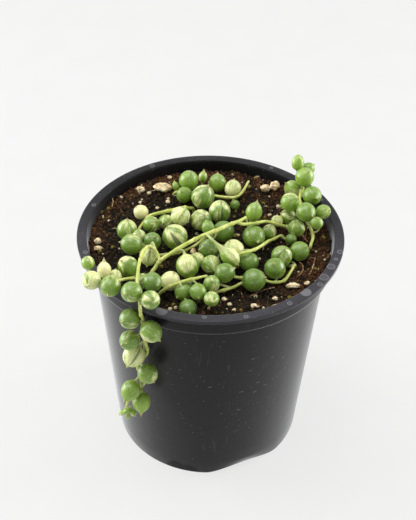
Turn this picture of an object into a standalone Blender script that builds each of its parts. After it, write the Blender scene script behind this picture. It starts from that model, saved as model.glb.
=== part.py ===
"""Potted string of pearls: a round nursery pot, its soil, the creeping stems and the bead-like leaves.

Metres, +Z up. The origin is the middle of the pot's base, on the surface it stands on.
Lengths in the tables below are in millimetres and go through MM.
"""

import math

import bpy
import numpy as np
from mathutils import Vector, noise

MM = 0.001
GAP = 0.3  # air left between pieces that touch

# The pot: a thin moulded wall with a flat rim, a deeper band under it and an arched foot.
POT_HEIGHT = 100.0
RIM_OUTER = 52.5
RIM_INNER = 48.6
RIM_DEPTH = 1.6
BAND_OUTER = 49.6
BAND_DEPTH = 9.4
WALL_THICKNESS = 1.3
WALL_TOP = 46.4
BASE_OUTER = 39.1
CORNER = 0.8
FLOOR_UNDERSIDE = 5.0
FLOOR_THICKNESS = 1.4
POT_SIDES = 96

ARCHES = 3
ARCH_FIRST = math.radians(-65.0)
ARCH_HALF_WIDTH = math.radians(25.0)
ARCH_HEIGHT = 4.2
DRAIN_HOLES = 8
DRAIN_RADIUS = 3.2
DRAIN_CIRCLE = 27.0

# The soil fills the pot to just under the rim and lies a little lower below the plant.
SOIL_MIDDLE = 94.2
SOIL_EDGE = 95.2
SOIL_BUMPS = 0.35
SOIL_RINGS = 9
SOIL_SIDES = 40

# Each stem: radius, then the points of its route.
STEMS = {
    "main": (0.75, [
        (-22.5, -22.5, 96.2), (-21.0, -20.5, 97.6), (-19.0, -19.0, 100.0), (-15.3, -18.4, 103.0),
        (-11.5, -16.9, 105.0), (-7.8, -14.7, 106.0), (-4.1, -12.1, 106.5), (-0.3, -10.2, 107.0),
        (3.5, -7.6, 107.0), (7.4, -4.7, 107.0), (10.9, -1.8, 106.5), (13.4, 1.4, 105.7)]),
    "branch": (0.6, [
        (12.3, -2.6, 105.6), (14.5, -1.8, 105.2), (17.6, -0.2, 104.4), (20.9, 2.2, 103.4),
        (24.1, 3.1, 102.3), (27.4, 4.2, 100.3), (29.8, 6.5, 97.8), (30.5, 8.5, 96.3)]),
    "back": (0.65, [
        (-7.5, 19.2, 96.3), (-9.0, 17.0, 98.0), (-10.8, 15.3, 99.7), (-14.5, 12.1, 101.0),
        (-18.4, 10.6, 101.0), (-22.3, 8.9, 101.0), (-24.5, 8.4, 100.2), (-26.4, 6.6, 99.0),
        (-28.6, 3.5, 97.0)]),
    "nest": (0.6, [
        (-14.5, 30.5, 96.2), (-9.5, 30.2, 96.3), (-4.5, 29.4, 96.5), (0.5, 27.0, 97.3),
        (5.0, 24.8, 98.2), (9.5, 25.2, 97.9), (12.5, 27.4, 98.5), (15.5, 32.8, 100.8)]),
    "left": (0.6, [
        (-25.0, -26.5, 96.3), (-28.0, -28.0, 98.6), (-31.6, -30.4, 100.4), (-36.1, -34.0, 101.6),
        (-40.0, -36.0, 102.4), (-43.5, -33.0, 102.6), (-45.0, -28.5, 102.8)]),
    "trailing": (0.6, [
        (-20.2, -17.0, 102.0), (-21.6, -16.4, 103.8), (-23.7, -17.0, 105.3), (-25.5, -22.9, 106.0),
        (-26.4, -29.9, 106.0), (-26.3, -36.8, 105.0), (-25.6, -42.6, 103.4), (-25.0, -46.4, 101.8),
        (-24.7, -48.1, 99.2), (-24.2, -46.9, 96.2), (-24.0, -45.6, 93.2), (-24.6, -45.7, 89.8),
        (-25.0, -43.6, 85.6),
        (-24.2, -41.4, 80.0), (-23.2, -40.8, 73.0), (-25.6, -39.8, 68.0), (-27.3, -40.0, 64.0),
        (-26.0, -39.6, 59.5), (-25.0, -39.6, 54.5), (-27.6, -38.6, 50.0), (-30.6, -39.8, 46.5),
        (-32.2, -42.0, 43.5), (-32.4, -43.8, 41.5)]),
    "front": (0.6, [
        (-18.2, -33.2, 96.6), (-15.5, -34.6, 100.3), (-13.0, -34.4, 101.8), (-9.1, -33.2, 102.5),
        (-5.4, -31.5, 102.3), (-1.2, -28.6, 101.2)]),
    "front_right": (0.6, [
        (-0.5, -33.4, 96.4), (2.0, -32.8, 96.8), (5.7, -31.8, 97.2), (9.4, -29.8, 97.2),
        (12.0, -27.2, 96.6)]),
    "knot": (0.6, [
        (9.5, -16.3, 96.3), (10.2, -16.3, 99.5), (11.6, -17.0, 102.6), (13.9, -17.6, 104.0),
        (17.0, -13.8, 102.2), (19.9, -8.9, 100.2), (22.5, -3.9, 98.4), (25.0, -0.7, 97.0),
        (28.0, 2.6, 96.3)]),
    "creeping": (0.6, [
        (2.0, -14.5, 96.2), (5.0, -18.5, 96.2), (8.0, -22.5, 96.3), (13.0, -24.0, 96.4),
        (18.5, -23.8, 96.4), (23.0, -26.2, 96.6), (27.5, -25.5, 96.6), (30.3, -21.0, 96.6),
        (32.3, -16.0, 96.3)]),
    "upright": (0.6, [
        (39.5, -3.0, 96.3), (40.5, 1.0, 97.3), (39.5, 5.5, 98.3), (37.5, 10.5, 99.3),
        (36.5, 15.0, 100.5), (36.0, 21.0, 101.6), (37.2, 25.5, 102.0), (37.6, 30.0, 103.4),
        (36.4, 32.8, 106.0), (35.6, 33.8, 107.4)]),
    "low_left": (0.6, [
        (-30.0, -5.0, 96.2), (-26.0, -9.2, 96.2), (-20.0, -10.2, 96.2), (-13.0, -9.8, 96.2),
        (-7.0, -5.0, 96.2), (-2.0, 1.5, 96.2), (1.0, 6.5, 96.2)]),
}
STEM_STEP = 3.0  # spacing of the tube's rings along a stem

# The pearls of each stem: x, y, z of the bead's centre and its diameter.
PEARLS = {
    "main": [(-8.5, -23.0, 101.0, 8.9), (17.0, 7.0, 104.5, 6.9)],
    "branch": [(17.0, -2.5, 99.5, 8.9), (34.0, 4.5, 98.5, 7.0)],
    "back": [(-12.0, 6.0, 102.5, 7.8), (-23.5, 3.5, 100.0, 6.6), (-33.0, 1.0, 99.0, 8.2)],
    "nest": [(-9.5, 33.5, 100.0, 8.2), (-11.0, 25.5, 98.5, 6.7), (-3.5, 22.5, 100.0, 9.7),
             (2.5, 34.5, 98.5, 7.4), (9.0, 30.5, 98.5, 7.1)],
    "left": [(-31.0, -23.0, 100.5, 8.0), (-36.0, -41.0, 106.0, 7.7), (-43.0, -38.0, 106.0, 7.0)],
    "trailing": [(-23.5, -15.0, 99.0, 7.5), (-21.0, -36.5, 104.5, 7.3), (-28.0, -45.0, 107.0, 7.7),
                 (-21.0, -48.5, 106.5, 7.0), (-28.5, -45.5, 94.5, 7.8), (-21.0, -49.5, 92.0, 8.1),
                 (-29.5, -44.0, 82.0, 7.7), (-28.0, -42.5, 72.5, 8.6), (-23.0, -44.5, 65.0, 7.9),
                 (-30.0, -43.0, 54.0, 7.9), (-26.0, -42.5, 47.0, 7.5)],
    "front_right": [(5.5, -27.0, 101.5, 7.5), (16.5, -28.5, 99.5, 8.8)],
    "knot": [(9.0, -10.5, 99.0, 8.4), (7.5, -19.5, 103.0, 7.1), (15.0, -17.0, 98.5, 7.4)],
    "creeping": [(24.5, -22.0, 100.0, 8.2), (27.5, -14.0, 99.5, 8.1), (34.5, -10.0, 98.5, 7.6)],
    "upright": [(31.5, 12.5, 105.5, 7.6), (37.5, 6.5, 105.0, 7.8), (41.0, 20.5, 103.0, 7.8),
                (34.0, 28.5, 100.5, 7.2), (38.0, 27.0, 107.5, 7.9)],
    "low_left": [(3.5, 13.5, 99.5, 8.9), (-4.0, 7.5, 99.5, 8.6), (-22.5, -7.5, 100.5, 6.9),
                 (-14.0, -4.0, 100.0, 9.8), (-30.5, -10.5, 101.0, 8.2), (5.0, 0.5, 99.5, 8.5)],
}
PEARL_SIDES = 10
PEARL_RINGS = 6
TIP_PROUD = 0.3  # how far the leaf's point stands out of the bead
PETIOLE_RADIUS = 0.4
CLEARANCE = 0.4  # air between two pearls, or a pearl and anything else
SETTLE_STEPS = 300

GRAIN_CENTRE = (-20.3, 32.0, 97.3)
GRAIN_SIZE = (3.4, 2.2, 1.7)


def clear_scene():
    for obj in list(bpy.data.objects):
        bpy.data.objects.remove(obj)


def material(name, colour, roughness, metallic=0.0):
    """A Principled material with one plain colour."""
    mat = bpy.data.materials.new(name)
    mat.use_nodes = True
    shader = mat.node_tree.nodes["Principled BSDF"]
    shader.inputs["Base Color"].default_value = (*colour, 1.0)
    shader.inputs["Roughness"].default_value = roughness
    shader.inputs["Metallic"].default_value = metallic
    return mat


def add_mesh(name, points, faces, mat):
    """A smooth-shaded object made from points in millimetres."""
    mesh = bpy.data.meshes.new(name)
    mesh.from_pydata([Vector(p) * MM for p in points], [], faces)
    mesh.materials.append(mat)
    mesh.shade_smooth()
    mesh.set_sharp_from_angle(angle=math.radians(40.0))
    obj = bpy.data.objects.new(name, mesh)
    bpy.context.scene.collection.objects.link(obj)
    return obj


def turned(profile, sides, shape=None):
    """Points and faces of a profile of (radius, z) turned about Z, bottom to top along its outside.

    A profile that starts and ends on the axis closes at its poles; any other is a closed ring.
    shape(radius, z, angle) may move each point and returns its radius and z.
    """
    shape = shape or (lambda radius, z, angle: (radius, z))
    on_axis = [radius < 1e-6 for radius, _ in profile]
    points, rows = [], []
    for (radius, z), pole in zip(profile, on_axis):
        if pole:
            rows.append([len(points)] * sides)
            points.append((0.0, 0.0, shape(0.0, z, 0.0)[1]))
            continue
        rows.append(range(len(points), len(points) + sides))
        for k in range(sides):
            angle = 2.0 * math.pi * k / sides
            r, height = shape(radius, z, angle)
            points.append((r * math.cos(angle), r * math.sin(angle), height))
    pairs = list(zip(rows, rows[1:]))
    if not any(on_axis):
        pairs.append((rows[-1], rows[0]))
    faces = []
    for low, high in pairs:
        for k in range(sides):
            n = (k + 1) % sides
            corners = [low[k], low[n], high[n], high[k]]
            faces.append(list(dict.fromkeys(corners)))
    return points, faces


def pot_profile():
    """The pot's wall in section: up the outside, over the rim, down the inside to the middle of the floor."""
    band_z = POT_HEIGHT - BAND_DEPTH
    rim_z = POT_HEIGHT - RIM_DEPTH
    inner_base = BASE_OUTER - WALL_THICKNESS
    floor_top = FLOOR_UNDERSIDE + FLOOR_THICKNESS
    return [
        (0.0, FLOOR_UNDERSIDE), (inner_base - 0.6, FLOOR_UNDERSIDE), (inner_base - 0.8, 0.0),
        (BASE_OUTER - CORNER, 0.0), (BASE_OUTER, CORNER),
        (WALL_TOP, band_z - 0.6), (BAND_OUTER - 0.5, band_z), (BAND_OUTER - 0.3, band_z + 0.5),
        (BAND_OUTER, rim_z), (RIM_OUTER - 0.1, rim_z), (RIM_OUTER, POT_HEIGHT - 0.5),
        (RIM_OUTER - 0.4, POT_HEIGHT), (RIM_INNER + 0.4, POT_HEIGHT), (RIM_INNER, POT_HEIGHT - 0.4),
        (BAND_OUTER - WALL_THICKNESS, POT_HEIGHT - 2.2),
        (BAND_OUTER - WALL_THICKNESS - 0.4, band_z + 0.8),
        (WALL_TOP - WALL_THICKNESS, band_z - 0.8),
        (inner_base + 0.4, floor_top + 1.0), (inner_base - 0.6, floor_top), (0.0, floor_top)]


def arch_height(angle):
    """How far the foot is lifted at this angle, by one of its soft, evenly spaced arches."""
    pitch = 2.0 * math.pi / ARCHES
    off = (angle - ARCH_FIRST + pitch / 2) % pitch - pitch / 2
    if abs(off) >= ARCH_HALF_WIDTH:
        return 0.0
    return ARCH_HEIGHT * math.cos(0.5 * math.pi * off / ARCH_HALF_WIDTH) ** 1.5


def drain_cutter():
    """One short rod through the pot's floor for each drain hole."""
    points, faces = [], []
    top = FLOOR_UNDERSIDE + FLOOR_THICKNESS + 2.0
    bottom = FLOOR_UNDERSIDE - 2.0
    outline = [(0.0, bottom), (DRAIN_RADIUS, bottom), (DRAIN_RADIUS, top), (0.0, top)]
    for k in range(DRAIN_HOLES):
        angle = ARCH_FIRST + 2.0 * math.pi * (k + 0.5) / DRAIN_HOLES
        shift = Vector((math.cos(angle), math.sin(angle), 0.0)) * DRAIN_CIRCLE
        rod_points, rod_faces = turned(outline, 16)
        faces += [[i + len(points) for i in face] for face in rod_faces]
        points += [Vector(p) + shift for p in rod_points]
    return points, faces


def build_pot(mat):
    def shape(radius, z, angle):
        return radius, max(z, arch_height(angle)) if z <= CORNER else z

    pot = add_mesh("nursery_pot", *turned(pot_profile(), POT_SIDES, shape), mat)
    cutter = add_mesh("drain_cutter", *drain_cutter(), mat)
    cutter.hide_render = True
    cutter.display_type = "WIRE"
    holes = pot.modifiers.new("drain_holes", "BOOLEAN")
    holes.operation = "DIFFERENCE"
    holes.solver = "EXACT"
    holes.object = cutter
    return pot


def soil_height(x, y):
    """The soil's top: low in the middle, higher by the wall, with soft bumps."""
    edge = min(1.0, max(0.0, (math.hypot(x, y) - 30.0) / 15.0))
    bumps = noise.noise(Vector((x / 7.0, y / 7.0, 3.0))) * SOIL_BUMPS
    return SOIL_MIDDLE + (SOIL_EDGE - SOIL_MIDDLE) * edge * edge * (3 - 2 * edge) + bumps


def build_soil(mat):
    """One plug of soil that follows the inside of the wall and has a bumpy top."""
    floor_top = FLOOR_UNDERSIDE + FLOOR_THICKNESS
    band_z = POT_HEIGHT - BAND_DEPTH
    low = BASE_OUTER - WALL_THICKNESS - 1.2
    shoulder = WALL_TOP - WALL_THICKNESS - GAP
    top = BAND_OUTER - WALL_THICKNESS - 0.4 - 2 * GAP
    profile = [(0.0, floor_top + GAP), (low, floor_top + GAP), (low + 0.7, floor_top + 1.6),
               (shoulder, band_z - 1.0), (top, band_z + 1.4), (top, SOIL_EDGE)]
    rings = [top * (1.0 - k / SOIL_RINGS) for k in range(1, SOIL_RINGS)]
    profile += [(radius, SOIL_MIDDLE) for radius in rings] + [(0.0, SOIL_MIDDLE)]

    def shape(radius, z, angle):
        if z < SOIL_MIDDLE:
            return radius, z
        return radius, soil_height(radius * math.cos(angle), radius * math.sin(angle))

    return add_mesh("potting_soil", *turned(profile, SOIL_SIDES, shape), mat)


def build_grain(mat):
    """A lump of pumice: a squashed ball with a worn, uneven face."""
    rings, sides = 7, 12
    profile = [(math.sin(math.pi * k / rings), -math.cos(math.pi * k / rings)) for k in range(rings + 1)]
    profile = [(0.0 if r < 1e-6 else r, z) for r, z in profile]
    points, faces = turned(profile, sides)
    centre, size = Vector(GRAIN_CENTRE), Vector(GRAIN_SIZE)
    worn = []
    for p in points:
        swell = 1.0 + 0.18 * noise.noise(Vector(p) * 1.7 + Vector((4.0, 1.0, 0.0)))
        worn.append(centre + Vector(p) * size * swell)
    return add_mesh("pumice_grain", worn, faces, mat)


def smooth_route(points, step):
    """Points about `step` apart on a Catmull-Rom curve through the route's own points."""
    route = [Vector(p) for p in points]
    route = [2 * route[0] - route[1], *route, 2 * route[-1] - route[-2]]
    out = []
    for a, b, c, d in zip(route, route[1:], route[2:], route[3:]):
        count = max(1, round((c - b).length / step))
        for k in range(count):
            t = k / count
            out.append(0.5 * (2 * b + (c - a) * t + (2 * a - 5 * b + 4 * c - d) * t * t
                              + (3 * b - a - 3 * c + d) * t * t * t))
    return [*out, route[-2]]


def build_stem(name, radius, line, mat):
    """A round tube along its line, with closed ends."""
    curve = bpy.data.curves.new(name, "CURVE")
    curve.dimensions = "3D"
    curve.bevel_depth = radius * MM
    curve.bevel_resolution = 2
    curve.use_fill_caps = True
    spline = curve.splines.new("POLY")
    spline.points.add(len(line) - 1)
    for point, place in zip(spline.points, line):
        point.co = (*(place * MM), 1.0)
    curve.materials.append(mat)
    obj = bpy.data.objects.new(name, curve)
    bpy.context.scene.collection.objects.link(obj)
    return obj


def pot_outline():
    """Points every half millimetre along the pot's section, for keeping pearls off it."""
    profile = pot_profile()
    out = []
    for (r0, z0), (r1, z1) in zip(profile, profile[1:]):
        count = max(1, int(math.hypot(r1 - r0, z1 - z0) / 0.5))
        out += [(r0 + (r1 - r0) * k / count, z0 + (z1 - z0) * k / count) for k in range(count)]
    return np.array(out)


def push_off(away, reach):
    """The move that takes each row clear of the nearest thing it is too close to."""
    dist = np.linalg.norm(away, axis=2)
    short = reach - dist
    rows = np.arange(len(away))
    worst = short.argmax(axis=1)
    move = away[rows, worst] / dist[rows, worst][:, None]
    return move * np.clip(short[rows, worst], 0.0, None)[:, None]


def settle(centres, radii, lines):
    """Ease the pearls apart until each clears its neighbours, the stems, the soil and the pot."""
    stem_points = np.array([p for line, _ in lines for p in line])
    stem_reach = np.array([radius for line, radius in lines for _ in line])
    outline = pot_outline()
    ground = np.array([soil_height(x, y) for x, y, _ in centres])
    inside = np.hypot(centres[:, 0], centres[:, 1]) < RIM_INNER - 2.0
    for _ in range(SETTLE_STEPS):
        apart = centres[:, None] - centres[None]
        apart[np.arange(len(centres)), np.arange(len(centres))] = 1e3
        move = 0.5 * push_off(apart, radii[:, None] + radii[None] + CLEARANCE)
        off_stems = centres[:, None] - stem_points[None]
        move += push_off(off_stems, radii[:, None] + stem_reach[None] + CLEARANCE)
        rho = np.hypot(centres[:, 0], centres[:, 1])
        section = np.stack([rho, centres[:, 2]], axis=1)
        off_pot = push_off(section[:, None] - outline[None], radii[:, None] + CLEARANCE)
        move[:, :2] += centres[:, :2] / rho[:, None] * off_pot[:, :1]
        move[:, 2] += off_pot[:, 1]
        sunk = ground + radii + CLEARANCE - centres[:, 2]
        move[:, 2] += np.clip(sunk, 0.0, None) * inside
        centres = centres + 0.7 * move
    return centres


def nearest_on(line, place):
    """The point of a polyline that is nearest to a place."""
    best = None
    for a, b in zip(line, line[1:]):
        along = b - a
        t = min(1.0, max(0.0, (place - a).dot(along) / along.length_squared))
        found = a + along * t
        if best is None or (found - place).length < (best - place).length:
            best = found
    return best


def build_pearl(name, centre, radius, foot, start, mat):
    """A bead-like leaf turned about its own axis: short stalk, ball and small point.

    The stalk starts `start` away from `foot`, the nearest point of the stem's centre line.
    """
    axis = centre - foot
    reach = axis.length
    profile = [(0.0, start - reach), (PETIOLE_RADIUS, start - reach)]
    neck = math.asin(min(0.9, 1.2 * PETIOLE_RADIUS / radius))
    for k in range(PEARL_RINGS):
        slope = neck + (math.pi - 0.25 - neck) * k / (PEARL_RINGS - 1)
        profile.append((radius * math.sin(slope), -radius * math.cos(slope)))
    profile.append((0.0, radius + TIP_PROUD))
    points, faces = turned(profile, PEARL_SIDES)
    turn = Vector((0.0, 0.0, 1.0)).rotation_difference(axis)
    return add_mesh(name, [centre + turn @ Vector(p) for p in points], faces, mat)


def main():
    clear_scene()
    plastic = material("black_plastic", (0.035, 0.034, 0.037), 0.45)
    soil = material("dark_soil", (0.045, 0.028, 0.018), 0.95)
    pumice = material("pumice", (0.55, 0.47, 0.32), 0.9)
    bark = material("green_stem", (0.30, 0.34, 0.09), 0.5)
    leaf = material("pearl_leaf", (0.17, 0.29, 0.07), 0.35)

    build_pot(plastic)
    build_soil(soil)
    build_grain(pumice)

    lines = {name: smooth_route(points, STEM_STEP) for name, (_, points) in STEMS.items()}
    for name, (radius, _) in STEMS.items():
        build_stem(f"stem_{name}", radius, lines[name], bark)

    beads = [(name, *bead) for name, group in PEARLS.items() for bead in group]
    centres = np.array([bead[1:4] for bead in beads])
    radii = np.array([bead[4] / 2 for bead in beads])
    fine = [(smooth_route(points, 0.5), radius) for radius, points in STEMS.values()]
    centres = settle(centres, radii, fine)
    count = dict.fromkeys(PEARLS, 0)
    for (name, *_), centre, radius in zip(beads, centres, radii):
        count[name] += 1
        place = Vector(centre)
        foot = nearest_on(lines[name], place)
        start = STEMS[name][0] + GAP
        build_pearl(f"pearl_{name}_{count[name]}", place, radius, foot, start, leaf)


main()
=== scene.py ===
# %% [markdown]
# # A potted string of pearls
#
# This notebook dresses a small potted plant, piece by piece. A string of pearls is a creeping
# succulent: thin stems run over the soil and down the side of the pot, and each leaf is a fleshy
# bead with a short stalk, a small point and a clear slit that lets light in.
#
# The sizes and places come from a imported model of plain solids, which is loaded first as a fixed
# frame. Every piece made here takes the place of one or more of those solids.

# %% Load the frame
import math

import bmesh
import bpy
import numpy as np
from mathutils import Matrix, Vector, noise


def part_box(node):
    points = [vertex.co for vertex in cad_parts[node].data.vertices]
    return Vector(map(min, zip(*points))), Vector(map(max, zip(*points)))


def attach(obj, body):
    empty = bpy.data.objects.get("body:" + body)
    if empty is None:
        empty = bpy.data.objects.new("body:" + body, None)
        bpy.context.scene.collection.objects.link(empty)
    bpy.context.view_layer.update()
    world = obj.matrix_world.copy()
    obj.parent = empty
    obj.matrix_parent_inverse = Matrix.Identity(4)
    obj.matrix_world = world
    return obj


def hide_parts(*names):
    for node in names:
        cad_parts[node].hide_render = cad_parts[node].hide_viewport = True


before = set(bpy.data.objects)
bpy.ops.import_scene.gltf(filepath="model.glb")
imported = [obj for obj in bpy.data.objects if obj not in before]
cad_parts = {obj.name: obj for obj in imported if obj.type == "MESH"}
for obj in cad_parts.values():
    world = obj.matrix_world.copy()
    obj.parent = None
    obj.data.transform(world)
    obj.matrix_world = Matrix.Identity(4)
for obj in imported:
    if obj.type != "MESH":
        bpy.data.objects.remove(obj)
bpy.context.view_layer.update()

MM = 0.001
print("solids in the frame:", len(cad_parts))

# %% [markdown]
# ## Two small helpers for node trees
#
# Materials and geometry trees are both node trees. `Tree.add` makes any node from its type, its
# settings and the values or links of its sockets. `Num` wraps a number that varies over the
# surface, so that `1 - mask * 0.5` in Python adds the Math nodes for it.

# %% Numbers that vary over a surface
class Num:
    """A socket that carries a number. Python's operators on it add Math nodes."""

    def __init__(self, tree, socket):
        self.tree = tree
        self.socket = socket

    def math(self, operation, *values):
        node = self.tree.add("ShaderNodeMath", {"operation": operation}, dict(enumerate(values)))
        return Num(self.tree, node.outputs[0])

    def __add__(self, other):
        return self.math("ADD", self, other)

    def __sub__(self, other):
        return self.math("SUBTRACT", self, other)

    def __rsub__(self, other):
        return self.math("SUBTRACT", other, self)

    def __mul__(self, other):
        return self.math("MULTIPLY", self, other)

    __radd__ = __add__
    __rmul__ = __mul__

    def size(self):
        return self.math("ABSOLUTE", self)

    def at_least(self, other):
        return self.math("MAXIMUM", self, other)

    def at_most(self, other):
        return self.math("MINIMUM", self, other)

    def rise(self, low, high):
        """0 below low, 1 above high, and a smooth step between."""
        node = self.tree.add(
            "ShaderNodeMapRange", {"interpolation_type": "SMOOTHSTEP"},
            {"Value": self, "From Min": low, "From Max": high})
        return Num(self.tree, node.outputs[0])

    def fall(self, low, high):
        """1 below low, 0 above high."""
        return 1.0 - self.rise(low, high)


# %% One way to add any node
class Tree:
    """A node tree and the calls that fill it."""

    def __init__(self, node_tree):
        self.nodes = node_tree.nodes
        self.links = node_tree.links

    def add(self, kind, settings=None, inputs=None):
        node = self.nodes.new(kind)
        for name, value in (settings or {}).items():
            if name == "stops":
                self.set_stops(node.color_ramp, value)
            else:
                setattr(node, name, value)
        for name, value in (inputs or {}).items():
            self.plug(value, node.inputs[name])
        return node

    def first(self, kind, settings=None, inputs=None):
        """The first output of a new node."""
        return self.add(kind, settings, inputs).outputs[0]

    def plug(self, value, socket):
        """Link a socket or a Num, or set a plain value."""
        if isinstance(value, Num):
            value = value.socket
        if isinstance(value, bpy.types.NodeSocket):
            self.links.new(value, socket)
        elif socket.type == "RGBA":
            socket.default_value = (*value, 1.0)
        else:
            socket.default_value = value

    def set_stops(self, ramp, stops):
        while len(ramp.elements) < len(stops):
            ramp.elements.new(1.0)
        for element, (place, colour) in zip(ramp.elements, stops):
            element.position = place
            element.color = (*colour, 1.0)

    def attribute(self, name):
        """A value that the mesh carries, as a vector socket."""
        return self.add("ShaderNodeAttribute", {"attribute_name": name}).outputs["Vector"]

    def place(self):
        """The point on the piece, in metres in the object's own frame."""
        return self.add("ShaderNodeTexCoord").outputs["Object"]

    def parts(self, vector):
        node = self.add("ShaderNodeSeparateXYZ", None, {0: vector})
        return [Num(self, out) for out in node.outputs]

    def vector(self, operation, *values):
        return self.first("ShaderNodeVectorMath", {"operation": operation}, dict(enumerate(values)))

    def distance(self, first, second):
        node = self.add("ShaderNodeVectorMath", {"operation": "DISTANCE"}, {0: first, 1: second})
        return Num(self, node.outputs["Value"])

    def noise(self, where, scale, detail=3.0, roughness=0.5):
        node = self.add("ShaderNodeTexNoise", None, {
            "Vector": where, "Scale": scale, "Detail": detail, "Roughness": roughness})
        return Num(self, node.outputs[0])

    def cells(self, where, scale):
        """Distance from the middle of scattered cells, and a random number for each cell."""
        node = self.add("ShaderNodeTexVoronoi", None, {"Vector": where, "Scale": scale})
        return Num(self, node.outputs["Distance"]), self.parts(node.outputs["Color"])[0]

    def mix(self, factor, first, second):
        """Two colours mixed by a number."""
        node = self.add("ShaderNodeMix", {"data_type": "RGBA"}, {0: factor, 6: first, 7: second})
        return node.outputs[2]

    def ramp(self, factor, stops):
        return self.first("ShaderNodeValToRGB", {"stops": stops}, {0: factor})

    def bump(self, height, distance):
        """A normal for heights given in units of distance."""
        return self.first("ShaderNodeBump", None, {"Height": height, "Distance": distance})


def new_material(name, **constants):
    """A material and its tree. The constants go straight onto the shader's own sockets."""
    mat = bpy.data.materials.new(name)
    mat.use_nodes = True
    tree = Tree(mat.node_tree)
    shader = mat.node_tree.nodes["Principled BSDF"]
    for socket, value in constants.items():
        tree.plug(value, shader.inputs[socket.replace("_", " ")])
    return mat, tree, shader


def coat(tree, shader, colour, roughness=None, normal=None):
    """Give the shader what varies over the surface."""
    for socket, value in (("Base Color", colour), ("Roughness", roughness), ("Normal", normal)):
        if value is not None:
            tree.plug(value, shader.inputs[socket])


def put(name, data):
    """A new object in the scene."""
    obj = bpy.data.objects.new(name, data)
    bpy.context.scene.collection.objects.link(obj)
    return obj


def add_mesh(name, points, faces, mat, smooth=True):
    """An object made from points in millimetres."""
    mesh = bpy.data.meshes.new(name)
    mesh.from_pydata([tuple(c * MM for c in p) for p in points], [], faces)
    mesh.materials.append(mat)
    if smooth:
        mesh.shade_smooth()
    return put(name, mesh)


def gathered(shapes):
    """Points and faces of many shapes, as one list of each."""
    points, faces = [], []
    for more_points, more_faces in shapes:
        faces += [[i + len(points) for i in face] for face in more_faces]
        points += more_points
    return points, faces


def settle(piece, slot, *solids):
    """Fix a finished piece to the body and hide the solids it stands for. The slot is not used."""
    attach(piece, "root")
    if solids:
        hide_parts(*solids)


print("helpers ready")

# %% [markdown]
# ## The camera
#
# A small pot shows best from a little way off through a longish lens, looking down at about 40
# degrees, so that the soil and the plant show as well as the wall. The camera is placed by the
# point it looks at, its height angle, its distance and a slight lean.

# %% Place the camera
LOOK_AT = Vector((-0.85, 0.0, 85.04)) * MM
ELEVATION = math.radians(39.82)
DISTANCE = 441.9 * MM
LEAN = math.radians(1.06)
LENS = 76.15


def place_camera():
    data = bpy.data.cameras.new("camera")
    data.lens = LENS
    data.sensor_width = 36.0
    data.clip_start = 0.01
    camera = put("camera", data)
    tilt = Matrix.Rotation(math.pi / 2 - ELEVATION, 4, "X")
    lean = Matrix.Rotation(LEAN, 4, "Z")
    back = Vector((0.0, -math.cos(ELEVATION), math.sin(ELEVATION)))
    camera.matrix_world = Matrix.Translation(LOOK_AT + back * DISTANCE) @ tilt @ lean
    bpy.context.scene.camera = camera
    return camera


camera = place_camera()
print("camera at (mm):", [round(c / MM, 1) for c in camera.matrix_world.translation])

# %% [markdown]
# ## The studio
#
# A white lit table under one large soft box, a little to the left, with a weaker one on each side.
# The sky is as bright as the table at the horizon, which puts a pale sheen on the sides of the dark
# pot, and dimmer overhead. The Standard view keeps white paper white.

# %% Table, sky and soft boxes
TABLE_SIZE = 8.0
SKY_STOPS = [(0.0, (0.90, 0.898, 0.892)), (0.10, (0.88, 0.878, 0.872)), (0.45, (0.52, 0.52, 0.52)),
             (1.0, (0.36, 0.36, 0.36))]  # from the horizon to straight up
SOFT_BOXES = [  # name, place, what it is aimed at, size, watts
    ("box_above", (-0.22, 0.10, 1.0), (0.0, 0.0, 0.05), (0.8, 0.8), 8.1),
    ("box_left", (-0.55, 0.12, 0.16), (0.0, 0.0, 0.06), (0.35, 0.5), 4.2),
    ("box_right", (0.55, 0.12, 0.16), (0.0, 0.0, 0.06), (0.35, 0.5), 4.2)]


def soft_box(name, place, aim, size, watts):
    data = bpy.data.lights.new(name, "AREA")
    data.shape = "RECTANGLE"
    data.size, data.size_y = size
    data.energy = watts
    lamp = put(name, data)
    lamp.visible_camera = False
    towards = Vector(aim) - Vector(place)
    lamp.matrix_world = Matrix.Translation(place) @ towards.to_track_quat("-Z", "Y").to_matrix().to_4x4()


def table_material():
    """White sheet that glows a little, as a lit table does, so that shadows on it stay faint."""
    mat, tree, shader = new_material(
        "white_table", Roughness=0.8, Specular_IOR_Level=0.1, Emission_Color=(1.0, 0.998, 0.994),
        Emission_Strength=0.735)
    grain = tree.noise(tree.place(), 40.0)
    coat(tree, shader, tree.ramp(grain, [(0.3, (0.105, 0.105, 0.104)), (0.7, (0.115, 0.115, 0.114))]))
    return mat


def build_studio():
    half = TABLE_SIZE / MM / 2
    corners = [(-half, -half, 0.0), (half, -half, 0.0), (half, half, 0.0), (-half, half, 0.0)]
    add_mesh("table_top", corners, [(0, 1, 2, 3)], table_material(), smooth=False)
    world = bpy.data.worlds.new("sky")
    world.use_nodes = True
    tree = Tree(world.node_tree)
    height = tree.parts(tree.add("ShaderNodeTexCoord").outputs["Generated"])[2]
    tree.plug(tree.ramp(height, SKY_STOPS), tree.nodes["Background"].inputs["Color"])
    bpy.context.scene.world = world
    for box in SOFT_BOXES:
        soft_box(*box)
    bpy.context.scene.view_settings.view_transform = "Standard"


build_studio()
print("soft boxes:", len(SOFT_BOXES), "table (m):", TABLE_SIZE)

# %% [markdown]
# ## The pot
#
# A nursery pot is blown or moulded in one piece from thin black plastic: a flat rim, a deeper band
# that lets pots stack, a wall that narrows downwards and a foot with arches so that water can run
# out. It could be a stack of cylinders, but a section turned round the axis gives the real
# rounded edges and one closed skin. The arches lift the foot's edge, and the drain holes are cut
# out with a Boolean.

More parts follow.
